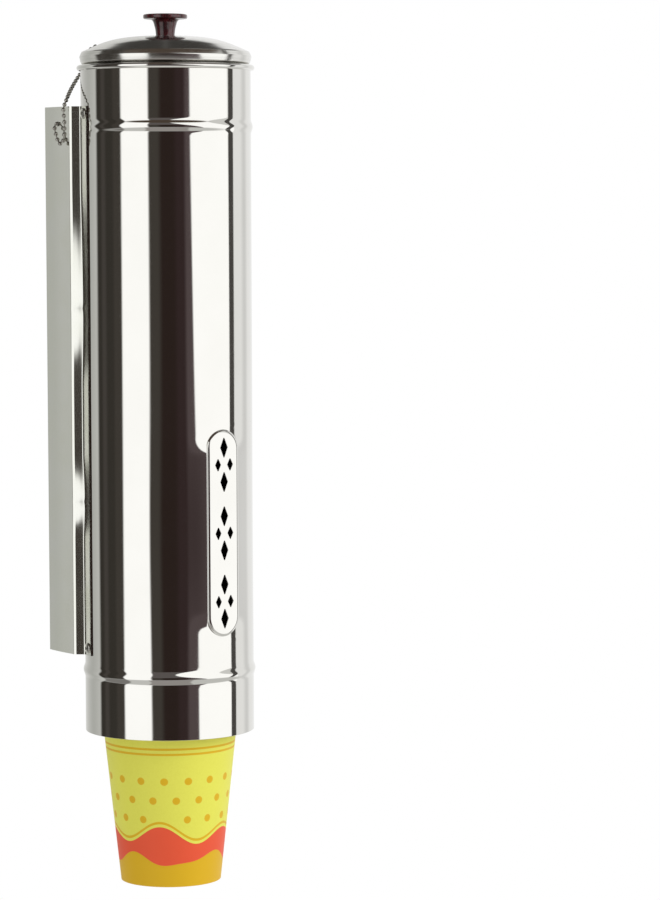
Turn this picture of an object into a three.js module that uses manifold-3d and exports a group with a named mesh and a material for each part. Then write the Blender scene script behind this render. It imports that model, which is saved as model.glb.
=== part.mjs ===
// A wall-hung cup dispenser: a polished steel tube on a folded bracket, fed from the top under a loose lid,
// with toothed flaps at the foot that hold the lowest cup of the stack by its rolled rim.
// All lengths are millimetres. Inside the assembly group z = 0 is the foot of the tube, the tube's axis is
// x = y = 0, and +Y points at the wall. The whole group is then moved so that the wall's surface is y = 0.
import * as THREE from "three";
import { mergeVertices } from "three/addons/utils/BufferGeometryUtils.js";
import Module from "manifold-3d";

const wasm = await Module();
wasm.setup();

// Clearances, and the overrun of every cut
const fitGap = 0.3;
const glueGap = 0.1;
const cutOverrun = 2;
const weldDistance = 0.0001;

// Tube of rolled and welded sheet, with a curled rim and two swaged beads; its bore follows the cups' rims
const tubeLength = 373;
const tubeSheet = 0.8;
const rimCurlRadius = 1.6;
const rimCurlOffset = 1.3;
const beadRise = 1;
const beadHeight = 8.5;
const upperBeadDrop = 34.4;
const lowerBeadHeight = 34.5;
const beadRunOutAngle = 8;

// Ventilated window pressed into a slot in the tube's front
const windowHeight = 115;
const windowWidth = 22;
const windowSheet = 1;
const windowFootHeight = 56.5;
const windowLedge = 2.6;
const tabWidth = 5;
const tabReach = 3;
const tallDiamondWidth = 5.2;
const tallDiamondHeight = 11.8;
const smallDiamondWidth = 4;
const smallDiamondHeight = 7.4;
const diamondGroupPitch = 38;
const tallDiamondSpacing = 19;
const smallDiamondSpacing = 8.6;

// Folded bracket, from its plate on the wall side to the lips that hug the tube
const bracketSheet = 0.8;
const bracketFootHeight = 44;
const bracketTopDrop = 23;
const plateGap = 4.7;
const wallDepth = 28.5;
const wallFlare = 3.9;
const wallBow = 0.5;
const joggleLength = 4.5;
const joggleDepth = 4.2;
const lipLength = 7.8;
const lipSlant = 2.35;
const plateBendRadius = 2;
const crestBendRadius = 2;
const lipBendRadius = 3;
const bowRadius = 140;

// Keyholes for the wall screws, round ends towards the middle of the bracket
const keyholeInset = 35.5;
const keyholeHeadRadius = 4;
const keyholeSlotRadius = 2.3;
const keyholeSlotTravel = 8.7;

// Foam pads with their paper liners
const padWidth = 55;
const padHeight = 25;
const padThickness = 3.6;
const linerThickness = 0.2;
const upperPadRise = 82.5;
const lowerPadDrop = 91;

// Blind rivets of the bracket, and the larger ones of the retainer ring
const bracketRivet = { head: 3, rise: 1, pocket: 1, shank: 1.6, tail: 2.4, tailLength: 2.6 };
const bracketRivetInset = 4;
const retainerRivet = { head: 4.7, rise: 1.5, pocket: 0.6, shank: 2, tail: 3, tailLength: 2.4 };
const retainerRivetHeight = 20;
const retainerRivetAngle = 33;

// Retainer ring inside the foot of the tube, and its flexible teeth
const ringHeight = 25;
const ringWall = 2;
const rimClearance = 2.7;
const teethHeight = 1.2;
const teethThickness = 1.5;
const collarHeight = 7;
const collarWall = 1.4;
const slitWidth = 1.2;
const teethCount = 12;
const slitLength = 4;

// Paper cups: a rolled-rim wall on a recessed base
const cupHeight = 91;
const cupMouthRadius = 38.1;
const cupFootRadius = 28.2;
const cupPaper = 0.5;
const cupRollRadius = 1.2;
const cupBaseRecess = 6.5;
const cupCount = 6;

// Pressed lid: a full dome, a sloping shoulder, a convex band and a skirt that drops inside the rim
const lidSheet = 0.8;
const lidOverhang = 0.5;
const lidHeight = 16;
const lidDomeFullness = 3.2;
const lidShoulderHeight = 10;
const lidShoulderInset = 7.5;
const lidBandTopHeight = 7.2;
const lidBandTopInset = 1.1;
const lidBandHeight = 4.5;
const lidBandFootInset = 1;
const lidSkirtDepth = 7;

// Knob on the lid, its screw and washer
const knobHeight = 11.6;
const knobDiscRadius = 12.3;
const knobDiscThickness = 2.5;
const knobFootRadius = 5.2;
const knobNeckRadius = 5.5;
const knobFlareRadius = 7;
const knobHoleDepth = 9.2;
const screwRadius = 2;
const screwHeadRadius = 3.8;
const screwHeadHeight = 2.2;
const screwReach = 7.6;
const washerRadius = 5.5;
const washerThickness = 0.8;

// Bead chain from the lid to the bracket's side wall, with a stop under the lid and a clasp in the bracket
const chainRadius = 1.1;
const chainSteps = 44;
const stopRadius = 1.8;
const stopLength = 4.5;
const stopClearance = 1.2;
const claspRadius = 1.9;
const claspLength = 5;
const lidChainAngle = 112;
const wallChainDrop = 9.5;
const wallChainDepth = 12.3;

// Segment counts
const tubeSegments = 48;
const lidSegments = 40;
const cupSegments = 24;
const smallSegments = 12;
const arcSteps = 3;

// Sizes that follow from the ones above
const cupRimRadius = cupMouthRadius - cupPaper + 2 * cupRollRadius;
const collarInnerRadius = cupRimRadius + rimClearance;
const collarOuterRadius = collarInnerRadius + collarWall;
const ringInnerRadius = collarOuterRadius + fitGap;
const ringOuterRadius = ringInnerRadius + ringWall;
const tubeInnerRadius = ringOuterRadius + fitGap;
const tubeRadius = tubeInnerRadius + tubeSheet;
const lidRadius = tubeRadius + lidOverhang;
const plateOuterY = tubeRadius + plateGap + bracketSheet;
const wallSurfaceY = plateOuterY + glueGap + padThickness + glueGap + linerThickness;
const bracketTopHeight = tubeLength - bracketTopDrop;
const bracketLength = bracketTopHeight - bracketFootHeight;
const bracketMiddleHeight = bracketFootHeight + bracketLength / 2;
const cupTaper = (cupMouthRadius - cupFootRadius) / cupHeight;
const teethTop = teethHeight + teethThickness;
const lowestCupFoot = teethTop + fitGap + 2 * cupRollRadius - cupHeight;
const cupPitch = cupBaseRecess + cupPaper + fitGap;

// Colours and finishes
const mirrorSteel = { color: 0xd9dad6, roughness: 0.08, metalness: 1 };
const satinSteel = { color: 0xb9bdb8, roughness: 0.4, metalness: 1 };
const rivetSteel = { color: 0xc4c4c0, roughness: 0.25, metalness: 1 };
const chainSteel = { color: 0x9a9a96, roughness: 0.3, metalness: 1 };
const darkFoam = { color: 0x5b5c57, roughness: 0.9, metalness: 0 };
const linerPaper = { color: 0xf4f5f0, roughness: 0.6, metalness: 0 };
const ringPlastic = { color: 0xe4e4df, roughness: 0.45, metalness: 0 };
const teethPlastic = { color: 0xdad9d2, roughness: 0.55, metalness: 0 };
const darkBakelite = { color: 0x3a1212, roughness: 0.3, metalness: 0 };
const cupPrint = { color: 0xe6e25c, roughness: 0.5, metalness: 0 };
const cupBoard = { color: 0xf2efe6, roughness: 0.7, metalness: 0 };

// A closed mesh as a manifold solid, with its shared vertices merged and flat triangles dropped.
function solidOf(geometry) {
  const bare = new THREE.BufferGeometry();
  const source = geometry.index ? geometry.toNonIndexed() : geometry;
  bare.setAttribute("position", source.getAttribute("position").clone());
  const merged = mergeVertices(bare, weldDistance);
  const kept = [];
  const all = merged.index.array;
  for (let i = 0; i < all.length; i += 3) {
    const [a, b, c] = [all[i], all[i + 1], all[i + 2]];
    if (a !== b && b !== c && c !== a) kept.push(a, b, c);
  }
  return new wasm.Manifold(
    new wasm.Mesh({
      numProp: 3,
      vertProperties: merged.attributes.position.array,
      triVerts: new Uint32Array(kept),
    }),
  );
}

// A manifold solid as a geometry again.
function geometryOf(solid) {
  const mesh = solid.getMesh();
  const geometry = new THREE.BufferGeometry();
  geometry.setAttribute("position", new THREE.BufferAttribute(mesh.vertProperties, 3));
  geometry.setIndex(new THREE.BufferAttribute(mesh.triVerts, 1));
  geometry.computeVertexNormals();
  return geometry;
}

// The body with every tool cut out of it.
function cut(body, tools) {
  let solid = solidOf(body);
  for (const tool of tools) solid = solid.subtract(solidOf(tool));
  return geometryOf(solid);
}

// The body with every extra piece joined to it.
function join(body, extras) {
  let solid = solidOf(body);
  for (const extra of extras) solid = solid.add(solidOf(extra));
  return geometryOf(solid);
}

// A profile of [radius, height] pairs turned about the Z axis.
function turned(profile, segments) {
  const points = profile.map(([r, z]) => new THREE.Vector2(r, z));
  const geometry = new THREE.LatheGeometry(points, segments);
  geometry.rotateX(Math.PI / 2);
  return geometryOf(solidOf(geometry));
}

// A plain round bar or hole tool about the Z axis, from one height to another.
function bar(radius, low, high, segments) {
  return turned([[0, low], [radius, low], [radius, high], [0, high]], segments);
}

// An outline in X and Z, extruded from rearY towards the front.
function frontwards(shape, rearY, depth) {
  const geometry = new THREE.ExtrudeGeometry(shape, {
    depth,
    bevelEnabled: false,
    curveSegments: arcSteps,
  });
  geometry.rotateX(Math.PI / 2);
  geometry.translate(0, rearY, 0);
  return geometry;
}

// Points of an arc about a centre, from one angle to another, ends included.
function arc(centreX, centreY, radius, from, to, steps) {
  return Array.from({ length: steps + 1 }, (_, i) => {
    const angle = from + ((to - from) * i) / steps;
    return [centreX + radius * Math.cos(angle), centreY + radius * Math.sin(angle)];
  });
}

// An open polyline with its inner corners rounded to the radii given for them.
function rounded(points, radii, steps) {
  const out = [points[0]];
  for (let i = 1; i < points.length - 1; i++) {
    const here = new THREE.Vector2(...points[i]);
    const back = new THREE.Vector2(...points[i - 1]).sub(here).normalize();
    const ahead = new THREE.Vector2(...points[i + 1]).sub(here).normalize();
    const half = Math.acos(THREE.MathUtils.clamp(back.dot(ahead), -1, 1)) / 2;
    const radius = radii[i - 1];
    const toCentre = back.clone().add(ahead).normalize().multiplyScalar(radius / Math.sin(half));
    const centre = here.clone().add(toCentre);
    const first = here.clone().addScaledVector(back, radius / Math.tan(half)).sub(centre);
    const last = here.clone().addScaledVector(ahead, radius / Math.tan(half)).sub(centre);
    let turn = last.angle() - first.angle();
    if (turn > Math.PI) turn -= 2 * Math.PI;
    if (turn < -Math.PI) turn += 2 * Math.PI;
    out.push(...arc(centre.x, centre.y, radius, first.angle(), first.angle() + turn, steps));
  }
  out.push(points[points.length - 1]);
  return out;
}

// The closed outline of a sheet whose one face follows a polyline, and whose other face lies to its left.
function sheetOutline(points, thickness) {
  const other = points.map(([x, y], i) => {
    const before = points[Math.max(i - 1, 0)];
    const after = points[Math.min(i + 1, points.length - 1)];
    const inwards = new THREE.Vector2(x - before[0], y - before[1]);
    const outwards = new THREE.Vector2(after[0] - x, after[1] - y);
    const first = i === 0 ? outwards.clone().normalize() : inwards.clone().normalize();
    const second = i === points.length - 1 ? first : outwards.clone().normalize();
    const mean = first.clone().add(second).normalize();
    const reach = thickness / mean.dot(first);
    return [x - mean.y * reach, y + mean.x * reach];
  });
  return [...points, ...other.reverse()];
}

// A THREE.Shape through a list of [x, y] pairs.
function shapeOf(points) {
  return new THREE.Shape(points.map(([x, y]) => new THREE.Vector2(x, y)));
}

// A stadium, upright, about a middle height.
function stadium(width, height, middle) {
  const radius = width / 2;
  const straight = height / 2 - radius;
  return shapeOf([
    ...arc(0, middle + straight, radius, 0, Math.PI, 3 * arcSteps),
    ...arc(0, middle - straight, radius, Math.PI, 2 * Math.PI, 3 * arcSteps),
  ]);
}

// A named mesh with its own material.
function piece(name, geometry, finish) {
  const mesh = new THREE.Mesh(geometry, new THREE.MeshStandardMaterial(finish));
  mesh.name = name;
  return mesh;
}

// Places a geometry made about the Z axis so that its +Z points along a direction in the X-Y plane.
function aimed(geometry, x, y, z, angle) {
  geometry.rotateY(Math.PI / 2);
  geometry.rotateZ(angle);
  geometry.translate(x, y, z);
  return geometry;
}

const assembly = new THREE.Group();

// Bracket section, seen from above, on the +X side: lip end, joggle, crest of the side wall, plate corner
const lipEndY = plateOuterY - wallDepth - joggleLength - lipLength;
const lipEndX = Math.sqrt((tubeRadius + fitGap + bracketSheet) ** 2 - lipEndY ** 2);
const joggle = [lipEndX - lipSlant, lipEndY + lipLength];
const crest = [joggle[0] + joggleDepth, joggle[1] + joggleLength];
const plateCorner = [crest[0] - wallFlare, plateOuterY];
const wallMiddle = [(crest[0] + plateCorner[0]) / 2 + wallBow, (crest[1] + plateCorner[1]) / 2];
const mirrored = ([x, y]) => [-x, y];
const lipAngle = Math.atan2(lipSlant, lipLength);

// Rivets sit at the middle of the lips, square to them
const rivetSeat = [(lipEndX + joggle[0]) / 2, (lipEndY + joggle[1]) / 2];
const rivetRadiusFromAxis = Math.hypot(...rivetSeat);
const rivetTilt = Math.atan2(rivetSeat[1], rivetSeat[0]) - lipAngle;
const bracketGrip =
  (rivetRadiusFromAxis - tubeInnerRadius) / Math.cos(rivetTilt) +
  bracketRivet.tail * Math.tan(rivetTilt) +
  fitGap;
const bracketRivetPlaces = [];
for (const [level, z] of [
  ["upper", bracketTopHeight - bracketRivetInset],
  ["lower", bracketFootHeight + bracketRivetInset],
])
  for (const side of [1, -1])
    bracketRivetPlaces.push({
      name: `bracket_rivet_${level}_${side > 0 ? "right" : "left"}`,
      x: side * rivetSeat[0],
      y: rivetSeat[1],
      z,
      angle: side > 0 ? lipAngle : Math.PI - lipAngle,
    });

// Retainer rivets stand on the tube, one each side of its rear
const retainerGrip = tubeRadius - ringInnerRadius + fitGap;
const retainerRivetPlaces = [1, -1].map((side) => {
  const angle = Math.PI / 2 - side * THREE.MathUtils.degToRad(retainerRivetAngle);
  return {
    name: `retainer_rivet_${side > 0 ? "right" : "left"}`,
    x: tubeRadius * Math.cos(angle),
    y: tubeRadius * Math.sin(angle),
    z: retainerRivetHeight,
    angle,
  };
});

// A blind rivet: domed head with the mandrel's pocket, shank, and the swollen tail behind its grip.
function rivet(size, grip) {
  const pocketDepth = size.rise;
  const edge = size.rise / 3;
  return turned(
    [
      [0, size.rise - pocketDepth + fitGap],
      [size.pocket, size.rise - pocketDepth + fitGap],
      [size.pocket, size.rise + fitGap],
      [(size.head + size.pocket) / 2, size.rise + fitGap],
      [size.head, edge + fitGap],
      [size.head, fitGap],
      [size.shank, fitGap],
      [size.shank, -grip],
      [size.tail, -grip],
      [size.tail, -grip - size.tailLength / 2],
      [size.shank, -grip - size.tailLength],
      [0, -grip - size.tailLength],
    ].reverse(),
    smallSegments,
  );
}

// The clearance hole that a rivet needs, from behind its tail to in front of its head.
function rivetHole(size, grip) {
  return bar(size.shank + fitGap, -grip - cutOverrun, size.rise + cutOverrun, smallSegments);
}

for (const place of bracketRivetPlaces)
  assembly.add(
    piece(
      place.name,
      aimed(rivet(bracketRivet, bracketGrip), place.x, place.y, place.z, place.angle),
      rivetSteel,
    ),
  );
for (const place of retainerRivetPlaces)
  assembly.add(
    piece(
      place.name,
      aimed(rivet(retainerRivet, retainerGrip), place.x, place.y, place.z, place.angle),
      rivetSteel,
    ),
  );

// How far a bead lifts the sheet, at a distance from the bead's crest.
function beadLift(distance) {
  if (Math.abs(distance) >= beadHeight / 2) return 0;
  return (beadRise / 2) * (1 + Math.cos((2 * Math.PI * distance) / beadHeight));
}

// The upper bead's share of its full rise: it runs out flat before it reaches the bracket's lips.
function upperBeadShare(x, y) {
  const fromFront = THREE.MathUtils.radToDeg(Math.acos(-y / Math.hypot(x, y)));
  const lipAt = THREE.MathUtils.radToDeg(Math.PI / 2 + Math.atan2(lipEndY, lipEndX + bracketSheet));
  return 1 - THREE.MathUtils.smoothstep(fromFront, lipAt - beadRunOutAngle, lipAt);
}

// The tube's wall with the curl at its top, lifted in two rings to make the beads
function tubeGeometry() {
  const curlHeight = tubeLength - rimCurlRadius;
  const curlCentre = tubeInnerRadius + rimCurlOffset;
  const leave = -Math.PI + Math.acos((curlCentre - tubeRadius) / rimCurlRadius);
  const meet = Math.PI + Math.acos(rimCurlOffset / rimCurlRadius);
  const curl = arc(curlCentre, curlHeight, rimCurlRadius, leave, meet, 3 * arcSteps);
  const upperBead = tubeLength - upperBeadDrop;
  const beadSteps = [-beadHeight / 2, 0, beadHeight / 2];
  const levels = [lowerBeadHeight, upperBead].flatMap((crestHeight) =>
    beadSteps.map((step) => crestHeight + step),
  );
  const profile = [
    [tubeInnerRadius, 0],
    [tubeRadius, 0],
    ...levels.map((z) => [tubeRadius, z]),
    ...curl,
    ...levels.map((z) => [tubeInnerRadius, z]).reverse(),
    [tubeInnerRadius, 0],
  ];
  const geometry = turned(profile, tubeSegments);
  const places = geometry.attributes.position;
  for (let i = 0; i < places.count; i++) {
    const [x, y, z] = [places.getX(i), places.getY(i), places.getZ(i)];
    const lift = beadLift(z - lowerBeadHeight) + beadLift(z - upperBead) * upperBeadShare(x, y);
    const radius = Math.hypot(x, y);
    places.setXY(i, x + (x * lift) / radius, y + (y * lift) / radius);
  }
  return geometry;
}
const windowMiddle = windowFootHeight + windowHeight / 2;
const slotWidth = windowWidth - 2 * windowLedge;
const slotHeight = windowHeight - 2 * windowLedge;
const slotTool = frontwards(stadium(slotWidth, slotHeight, windowMiddle), 0, tubeRadius + cutOverrun);
const bracketHoles = bracketRivetPlaces.map((place) =>
  aimed(rivetHole(bracketRivet, bracketGrip), place.x, place.y, place.z, place.angle),
);
const retainerHoles = retainerRivetPlaces.map((place) =>
  aimed(rivetHole(retainerRivet, retainerGrip), place.x, place.y, place.z, place.angle),
);
assembly.add(
  piece("tube_body", cut(tubeGeometry(), [slotTool, ...bracketHoles, ...retainerHoles]), mirrorSteel),
);

// A diamond hole tool in the window, about a point of its face.
function diamond(width, height, x, z, rearY, depth) {
  const shape = shapeOf([
    [x + width / 2, z],
    [x, z + height / 2],
    [x - width / 2, z],
    [x, z - height / 2],
  ]);
  return frontwards(shape, rearY, depth);
}

// The window: a flat pressed face, a skirt cut to the tube, a neck through the slot and four bent tabs
function windowGeometry() {
  const faceRear = -(tubeRadius + fitGap);
  const faceFront = faceRear - windowSheet;
  const edgeSag = tubeRadius - Math.sqrt(tubeRadius ** 2 - (windowWidth / 2) ** 2);
  const outer = stadium(windowWidth, windowHeight, windowMiddle);
  const hollow = stadium(windowWidth - 2 * windowSheet, windowHeight - 2 * windowSheet, windowMiddle);
  const skirtRear = faceRear + edgeSag + fitGap;
  const shell = cut(frontwards(outer, skirtRear, skirtRear - faceFront), [
    frontwards(hollow, skirtRear + cutOverrun, skirtRear + cutOverrun - faceRear),
    bar(tubeRadius + fitGap, 0, tubeLength, 2 * tubeSegments),
  ]);
  const neckWidth = slotWidth - 2 * fitGap;
  const neckHeight = slotHeight - 2 * fitGap;
  const tabEdge = neckWidth / 2 + tabReach;
  const tabFront = -Math.sqrt((tubeInnerRadius - fitGap) ** 2 - tabEdge ** 2);
  const tabRear = tabFront + windowSheet;
  const neck = cut(
    frontwards(stadium(neckWidth, neckHeight, windowMiddle), tabRear, tabRear - faceFront - windowSheet / 2),
    [
      frontwards(
        stadium(neckWidth - 2 * windowSheet, neckHeight - 2 * windowSheet, windowMiddle),
        tabRear + cutOverrun,
        tabRear + cutOverrun - faceRear,
      ),
    ],
  );
  const tabs = [];
  for (const side of [1, -1])
    for (const level of [1, -1]) {
      const x = side * (tabEdge - (tabReach + windowSheet) / 2);
      const z = windowMiddle + (level * neckHeight) / 4;
      const tab = new THREE.BoxGeometry(tabReach + windowSheet, windowSheet, tabWidth);
      tab.translate(x, (tabFront + tabRear) / 2, z);
      tabs.push(tab);
    }
  const holes = [];
  for (const group of [1, 0, -1]) {
    const z = windowMiddle + group * diamondGroupPitch;
    const depth = 2 * cutOverrun + windowSheet;
    const rear = faceRear + cutOverrun;
    for (const side of [1, -1]) {
      const offset = (side * smallDiamondSpacing) / 2;
      const step = (side * tallDiamondSpacing) / 2;
      holes.push(diamond(smallDiamondWidth, smallDiamondHeight, offset, z, rear, depth));
      holes.push(diamond(tallDiamondWidth, tallDiamondHeight, 0, z + step, rear, depth));
    }
  }
  return cut(join(shell, [neck, ...tabs]), holes);
}
assembly.add(piece("window_grille", windowGeometry(), mirrorSteel));

// The bracket: one folded sheet with keyholes, rivet holes and the chain's hole
const wallChainY = plateOuterY - wallDepth + wallChainDepth;
const wallChainX = crest[0] - (wallFlare * wallChainDepth) / wallDepth + wallBow;
const wallChainZ = bracketTopHeight - wallChainDrop;
function keyhole(height, direction) {
  const slotEnd = height + direction * keyholeSlotTravel;
  const head = new THREE.CylinderGeometry(
    keyholeHeadRadius,
    keyholeHeadRadius,
    2 * cutOverrun + bracketSheet,
    5 * arcSteps,
  );
  head.translate(0, plateOuterY - bracketSheet / 2, height);
  const slot = stadium(
    2 * keyholeSlotRadius,
    keyholeSlotTravel + 2 * keyholeSlotRadius,
    (height + slotEnd) / 2,
  );
  return [head, frontwards(slot, plateOuterY + cutOverrun, 2 * cutOverrun + bracketSheet)];
}
function bracketGeometry() {
  const lipEnd = [lipEndX, lipEndY];
  const half = [lipEnd, joggle, crest, wallMiddle, plateCorner];
  const path = [...half, ...half.map(mirrored).reverse()];
  const bends = [lipBendRadius, crestBendRadius, bowRadius, plateBendRadius];
  const outline = sheetOutline(rounded(path, [...bends, ...[...bends].reverse()], arcSteps), bracketSheet);
  const sheet = new THREE.ExtrudeGeometry(shapeOf(outline), { depth: bracketLength, bevelEnabled: false });
  sheet.translate(0, 0, bracketFootHeight);
  const chainHole = bar(chainRadius + fitGap, -cutOverrun, cutOverrun, smallSegments);
  return cut(sheet, [
    ...keyhole(bracketTopHeight - keyholeInset, 1),
    ...keyhole(bracketFootHeight + keyholeInset, -1),
    ...bracketHoles,
    aimed(chainHole, -wallChainX, wallChainY, wallChainZ, 0),
  ]);
}
assembly.add(piece("wall_bracket", bracketGeometry(), satinSteel));

// Foam pads on the plate, each with a paper liner on the face that will meet the wall
for (const [level, z] of [
  ["upper", bracketMiddleHeight + upperPadRise],
  ["lower", bracketMiddleHeight - lowerPadDrop],
]) {
  const pad = new THREE.BoxGeometry(padWidth, padThickness, padHeight);
  pad.translate(0, plateOuterY + glueGap + padThickness / 2, z);
  assembly.add(piece(`foam_pad_${level}`, pad, darkFoam));
  const liner = new THREE.BoxGeometry(padWidth, linerThickness, padHeight);
  liner.translate(0, wallSurfaceY - linerThickness / 2, z);
  assembly.add(piece(`pad_liner_${level}`, liner, linerPaper));
}

// Retainer ring, held by its two rivets, and the toothed flap ring snapped into it
const ringFoot = teethTop + fitGap;
const ring = turned(
  [
    [ringInnerRadius, ringFoot],
    [ringOuterRadius, ringFoot],
    [ringOuterRadius, ringFoot + ringHeight],
    [ringInnerRadius, ringFoot + ringHeight],
    [ringInnerRadius, ringFoot],
  ],
  tubeSegments,
);
assembly.add(piece("retainer_ring", cut(ring, retainerHoles), ringPlastic));
const flap = turned(
  [
    [cupMouthRadius, teethHeight],
    [ringOuterRadius, teethHeight],
    [ringOuterRadius, teethTop],
    [collarOuterRadius, teethTop],
    [collarOuterRadius, teethTop + collarHeight],
    [collarInnerRadius, teethTop + collarHeight],
    [collarInnerRadius, teethTop],
    [cupMouthRadius, teethTop],
    [cupMouthRadius, teethHeight],
  ],
  tubeSegments,
);
const slits = Array.from({ length: teethCount }, (_, i) => {
  const slit = new THREE.BoxGeometry(slitLength + cutOverrun, slitWidth, teethThickness + 2 * cutOverrun);
  slit.translate(cupMouthRadius - cutOverrun + (slitLength + cutOverrun) / 2, 0, teethHeight);
  slit.rotateZ(((i + 1 / 2) * 2 * Math.PI) / teethCount);
  return slit;
});
assembly.add(piece("retainer_teeth", cut(flap, slits), teethPlastic));

// A cup's wall: a cone of paper with its rim rolled outwards
function cupWall() {
  const rollHeight = cupHeight - cupRollRadius;
  const innerMouth = cupMouthRadius - cupPaper;
  const underRoll = cupHeight - 2 * cupRollRadius;
  const rollCentre = innerMouth + cupRollRadius;
  const roll = arc(rollCentre, rollHeight, cupRollRadius, -Math.PI / 2, Math.PI, arcSteps + 1);
  return turned(
    [
      [cupFootRadius - cupPaper, 0],
      [cupFootRadius, 0],
      [cupMouthRadius - cupTaper * 2 * cupRollRadius, underRoll],
      ...roll,
      [cupFootRadius - cupPaper, 0],
    ],
    cupSegments,
  );
}

// A cup's base: a disc with its edge turned down inside the foot of the wall
function cupBase() {
  const top = cupBaseRecess + cupPaper;
  const lowRadius = cupFootRadius - cupPaper - fitGap;
  const highRadius = lowRadius + cupTaper * top;
  return turned(
    [
      [0, cupBaseRecess],
      [highRadius - cupPaper, cupBaseRecess],
      [lowRadius - cupPaper, 0],
      [lowRadius, 0],
      [highRadius, top],
      [0, top],
    ],
    cupSegments,
  );
}
for (let i = 0; i < cupCount; i++) {
  const foot = lowestCupFoot + i * cupPitch;
  for (const [part, geometry, finish] of [
    ["wall", cupWall(), cupPrint],
    ["base", cupBase(), cupBoard],
  ]) {
    const mesh = piece(`cup_${i + 1}_${part}`, geometry, finish);
    mesh.position.z = foot;
    assembly.add(mesh);
  }
}

// Lid, standing on the rim of the tube
const lid = new THREE.Group();
lid.position.z = tubeLength + fitGap;
const skirtRadius = tubeInnerRadius + rimCurlOffset - rimCurlRadius - fitGap;
const domeRadius = lidRadius - lidShoulderInset;
const stopDistance = skirtRadius - lidSheet - stopClearance - stopRadius;
const lidChain = THREE.MathUtils.degToRad(lidChainAngle);
const lidChainX = stopDistance * Math.cos(lidChain);
const lidChainY = stopDistance * Math.sin(lidChain);
function lidGeometry() {
  const domeSteps = 6;
  const screwHole = screwRadius + fitGap;
  const dome = Array.from({ length: domeSteps + 1 }, (_, i) => {
    const r = screwHole + ((domeRadius - screwHole) * i) / domeSteps;
    const drop = (lidHeight - lidShoulderHeight) * (r / domeRadius) ** lidDomeFullness;
    return [r, lidHeight - drop];
  });
  const band = [
    [lidRadius - lidBandTopInset, lidBandTopHeight],
    [lidRadius, lidBandHeight],
    [lidRadius - lidBandFootInset, 0],
    [skirtRadius, 0],
    [skirtRadius, -lidSkirtDepth],
  ];
  const outline = sheetOutline([...dome, ...band].reverse(), lidSheet);
  const shell = turned([...outline, outline[0]], lidSegments);
  const hole = bar(chainRadius + fitGap, 0, lidHeight, smallSegments);
  hole.translate(lidChainX, lidChainY, 0);
  return cut(shell, [hole]);
}
lid.add(piece("lid_shell", lidGeometry(), mirrorSteel));

// Knob: a stem that widens up to a thin disc, with a blind hole for its screw
const knobFoot = lidHeight + fitGap;
const knobTop = knobFoot + knobHeight;
const discFoot = knobTop - knobDiscThickness;
const knob = turned(
  [
    [0, knobFoot + knobHoleDepth],
    [screwRadius + fitGap, knobFoot + knobHoleDepth],
    [screwRadius + fitGap, knobFoot],
    [knobFootRadius, knobFoot],
    [knobNeckRadius, knobFoot + knobHeight / 4],
    [(knobNeckRadius + knobFlareRadius) / 2, knobFoot + knobHeight / 2],
    [knobFlareRadius, discFoot],
    [knobDiscRadius, discFoot + knobDiscThickness / 3],
    [knobDiscRadius, knobTop - knobDiscThickness / 3],
    [knobDiscRadius - knobDiscThickness / 3, knobTop],
    [0, knobTop],
  ],
  2 * smallSegments,
);
lid.add(piece("lid_knob", knob, darkBakelite));

// Washer and screw under the dome
const washerTop = lidHeight - lidSheet - fitGap;
const washerFoot = washerTop - washerThickness;
const screwBore = screwRadius + fitGap;
const washer = turned(
  [
    [screwBore, washerFoot],
    [washerRadius, washerFoot],
    [washerRadius, washerTop],
    [screwBore, washerTop],
    [screwBore, washerFoot],
  ],
  2 * smallSegments,
);
lid.add(piece("knob_washer", washer, rivetSteel));
const headTop = washerFoot - fitGap;
const headFoot = headTop - screwHeadHeight;
const driveWidth = screwHeadRadius / 3;
const screwBody = turned(
  [
    [0, headFoot],
    [screwHeadRadius / 2, headFoot],
    [screwHeadRadius, headTop - screwHeadHeight / 3],
    [screwHeadRadius, headTop],
    [screwRadius, headTop],
    [screwRadius, knobFoot + screwReach],
    [0, knobFoot + screwReach],
  ],
  smallSegments,
);
const driveSlot = new THREE.BoxGeometry(2 * screwHeadRadius, driveWidth, screwHeadHeight);
driveSlot.translate(0, 0, headFoot);
lid.add(piece("knob_screw", cut(screwBody, [driveSlot]), rivetSteel));

// Chain stop under the lid's shoulder
const shoulderSlope =
  (lidShoulderHeight - lidBandTopHeight) / (lidShoulderInset - lidBandTopInset);
const shoulderAtStop = lidShoulderHeight - shoulderSlope * (stopDistance - domeRadius);
const stopTop = shoulderAtStop - shoulderSlope * stopRadius - lidSheet - 2 * fitGap;
const stopBody = turned(
  [
    [0, stopTop - stopLength],
    [stopRadius / 2, stopTop - stopLength],
    [stopRadius, stopTop - stopLength + stopRadius / 2],
    [stopRadius, stopTop - stopRadius / 2],
    [stopRadius / 2, stopTop],
    [0, stopTop],
  ],
  smallSegments,
);
stopBody.translate(lidChainX, lidChainY, 0);
lid.add(piece("chain_stop", stopBody, chainSteel));
assembly.add(lid);

// Clasp behind the chain's hole in the bracket's left wall
const claspBody = turned(
  [
    [0, 0],
    [claspRadius / 2, 0],
    [claspRadius, claspRadius / 2],
    [claspRadius, claspLength - claspRadius / 2],
    [claspRadius / 2, claspLength],
    [0, claspLength],
  ],
  smallSegments,
);
const claspFace = -wallChainX + bracketSheet + 2 * fitGap;
assembly.add(piece("chain_clasp", aimed(claspBody, claspFace, wallChainY, wallChainZ, 0), chainSteel));

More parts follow.
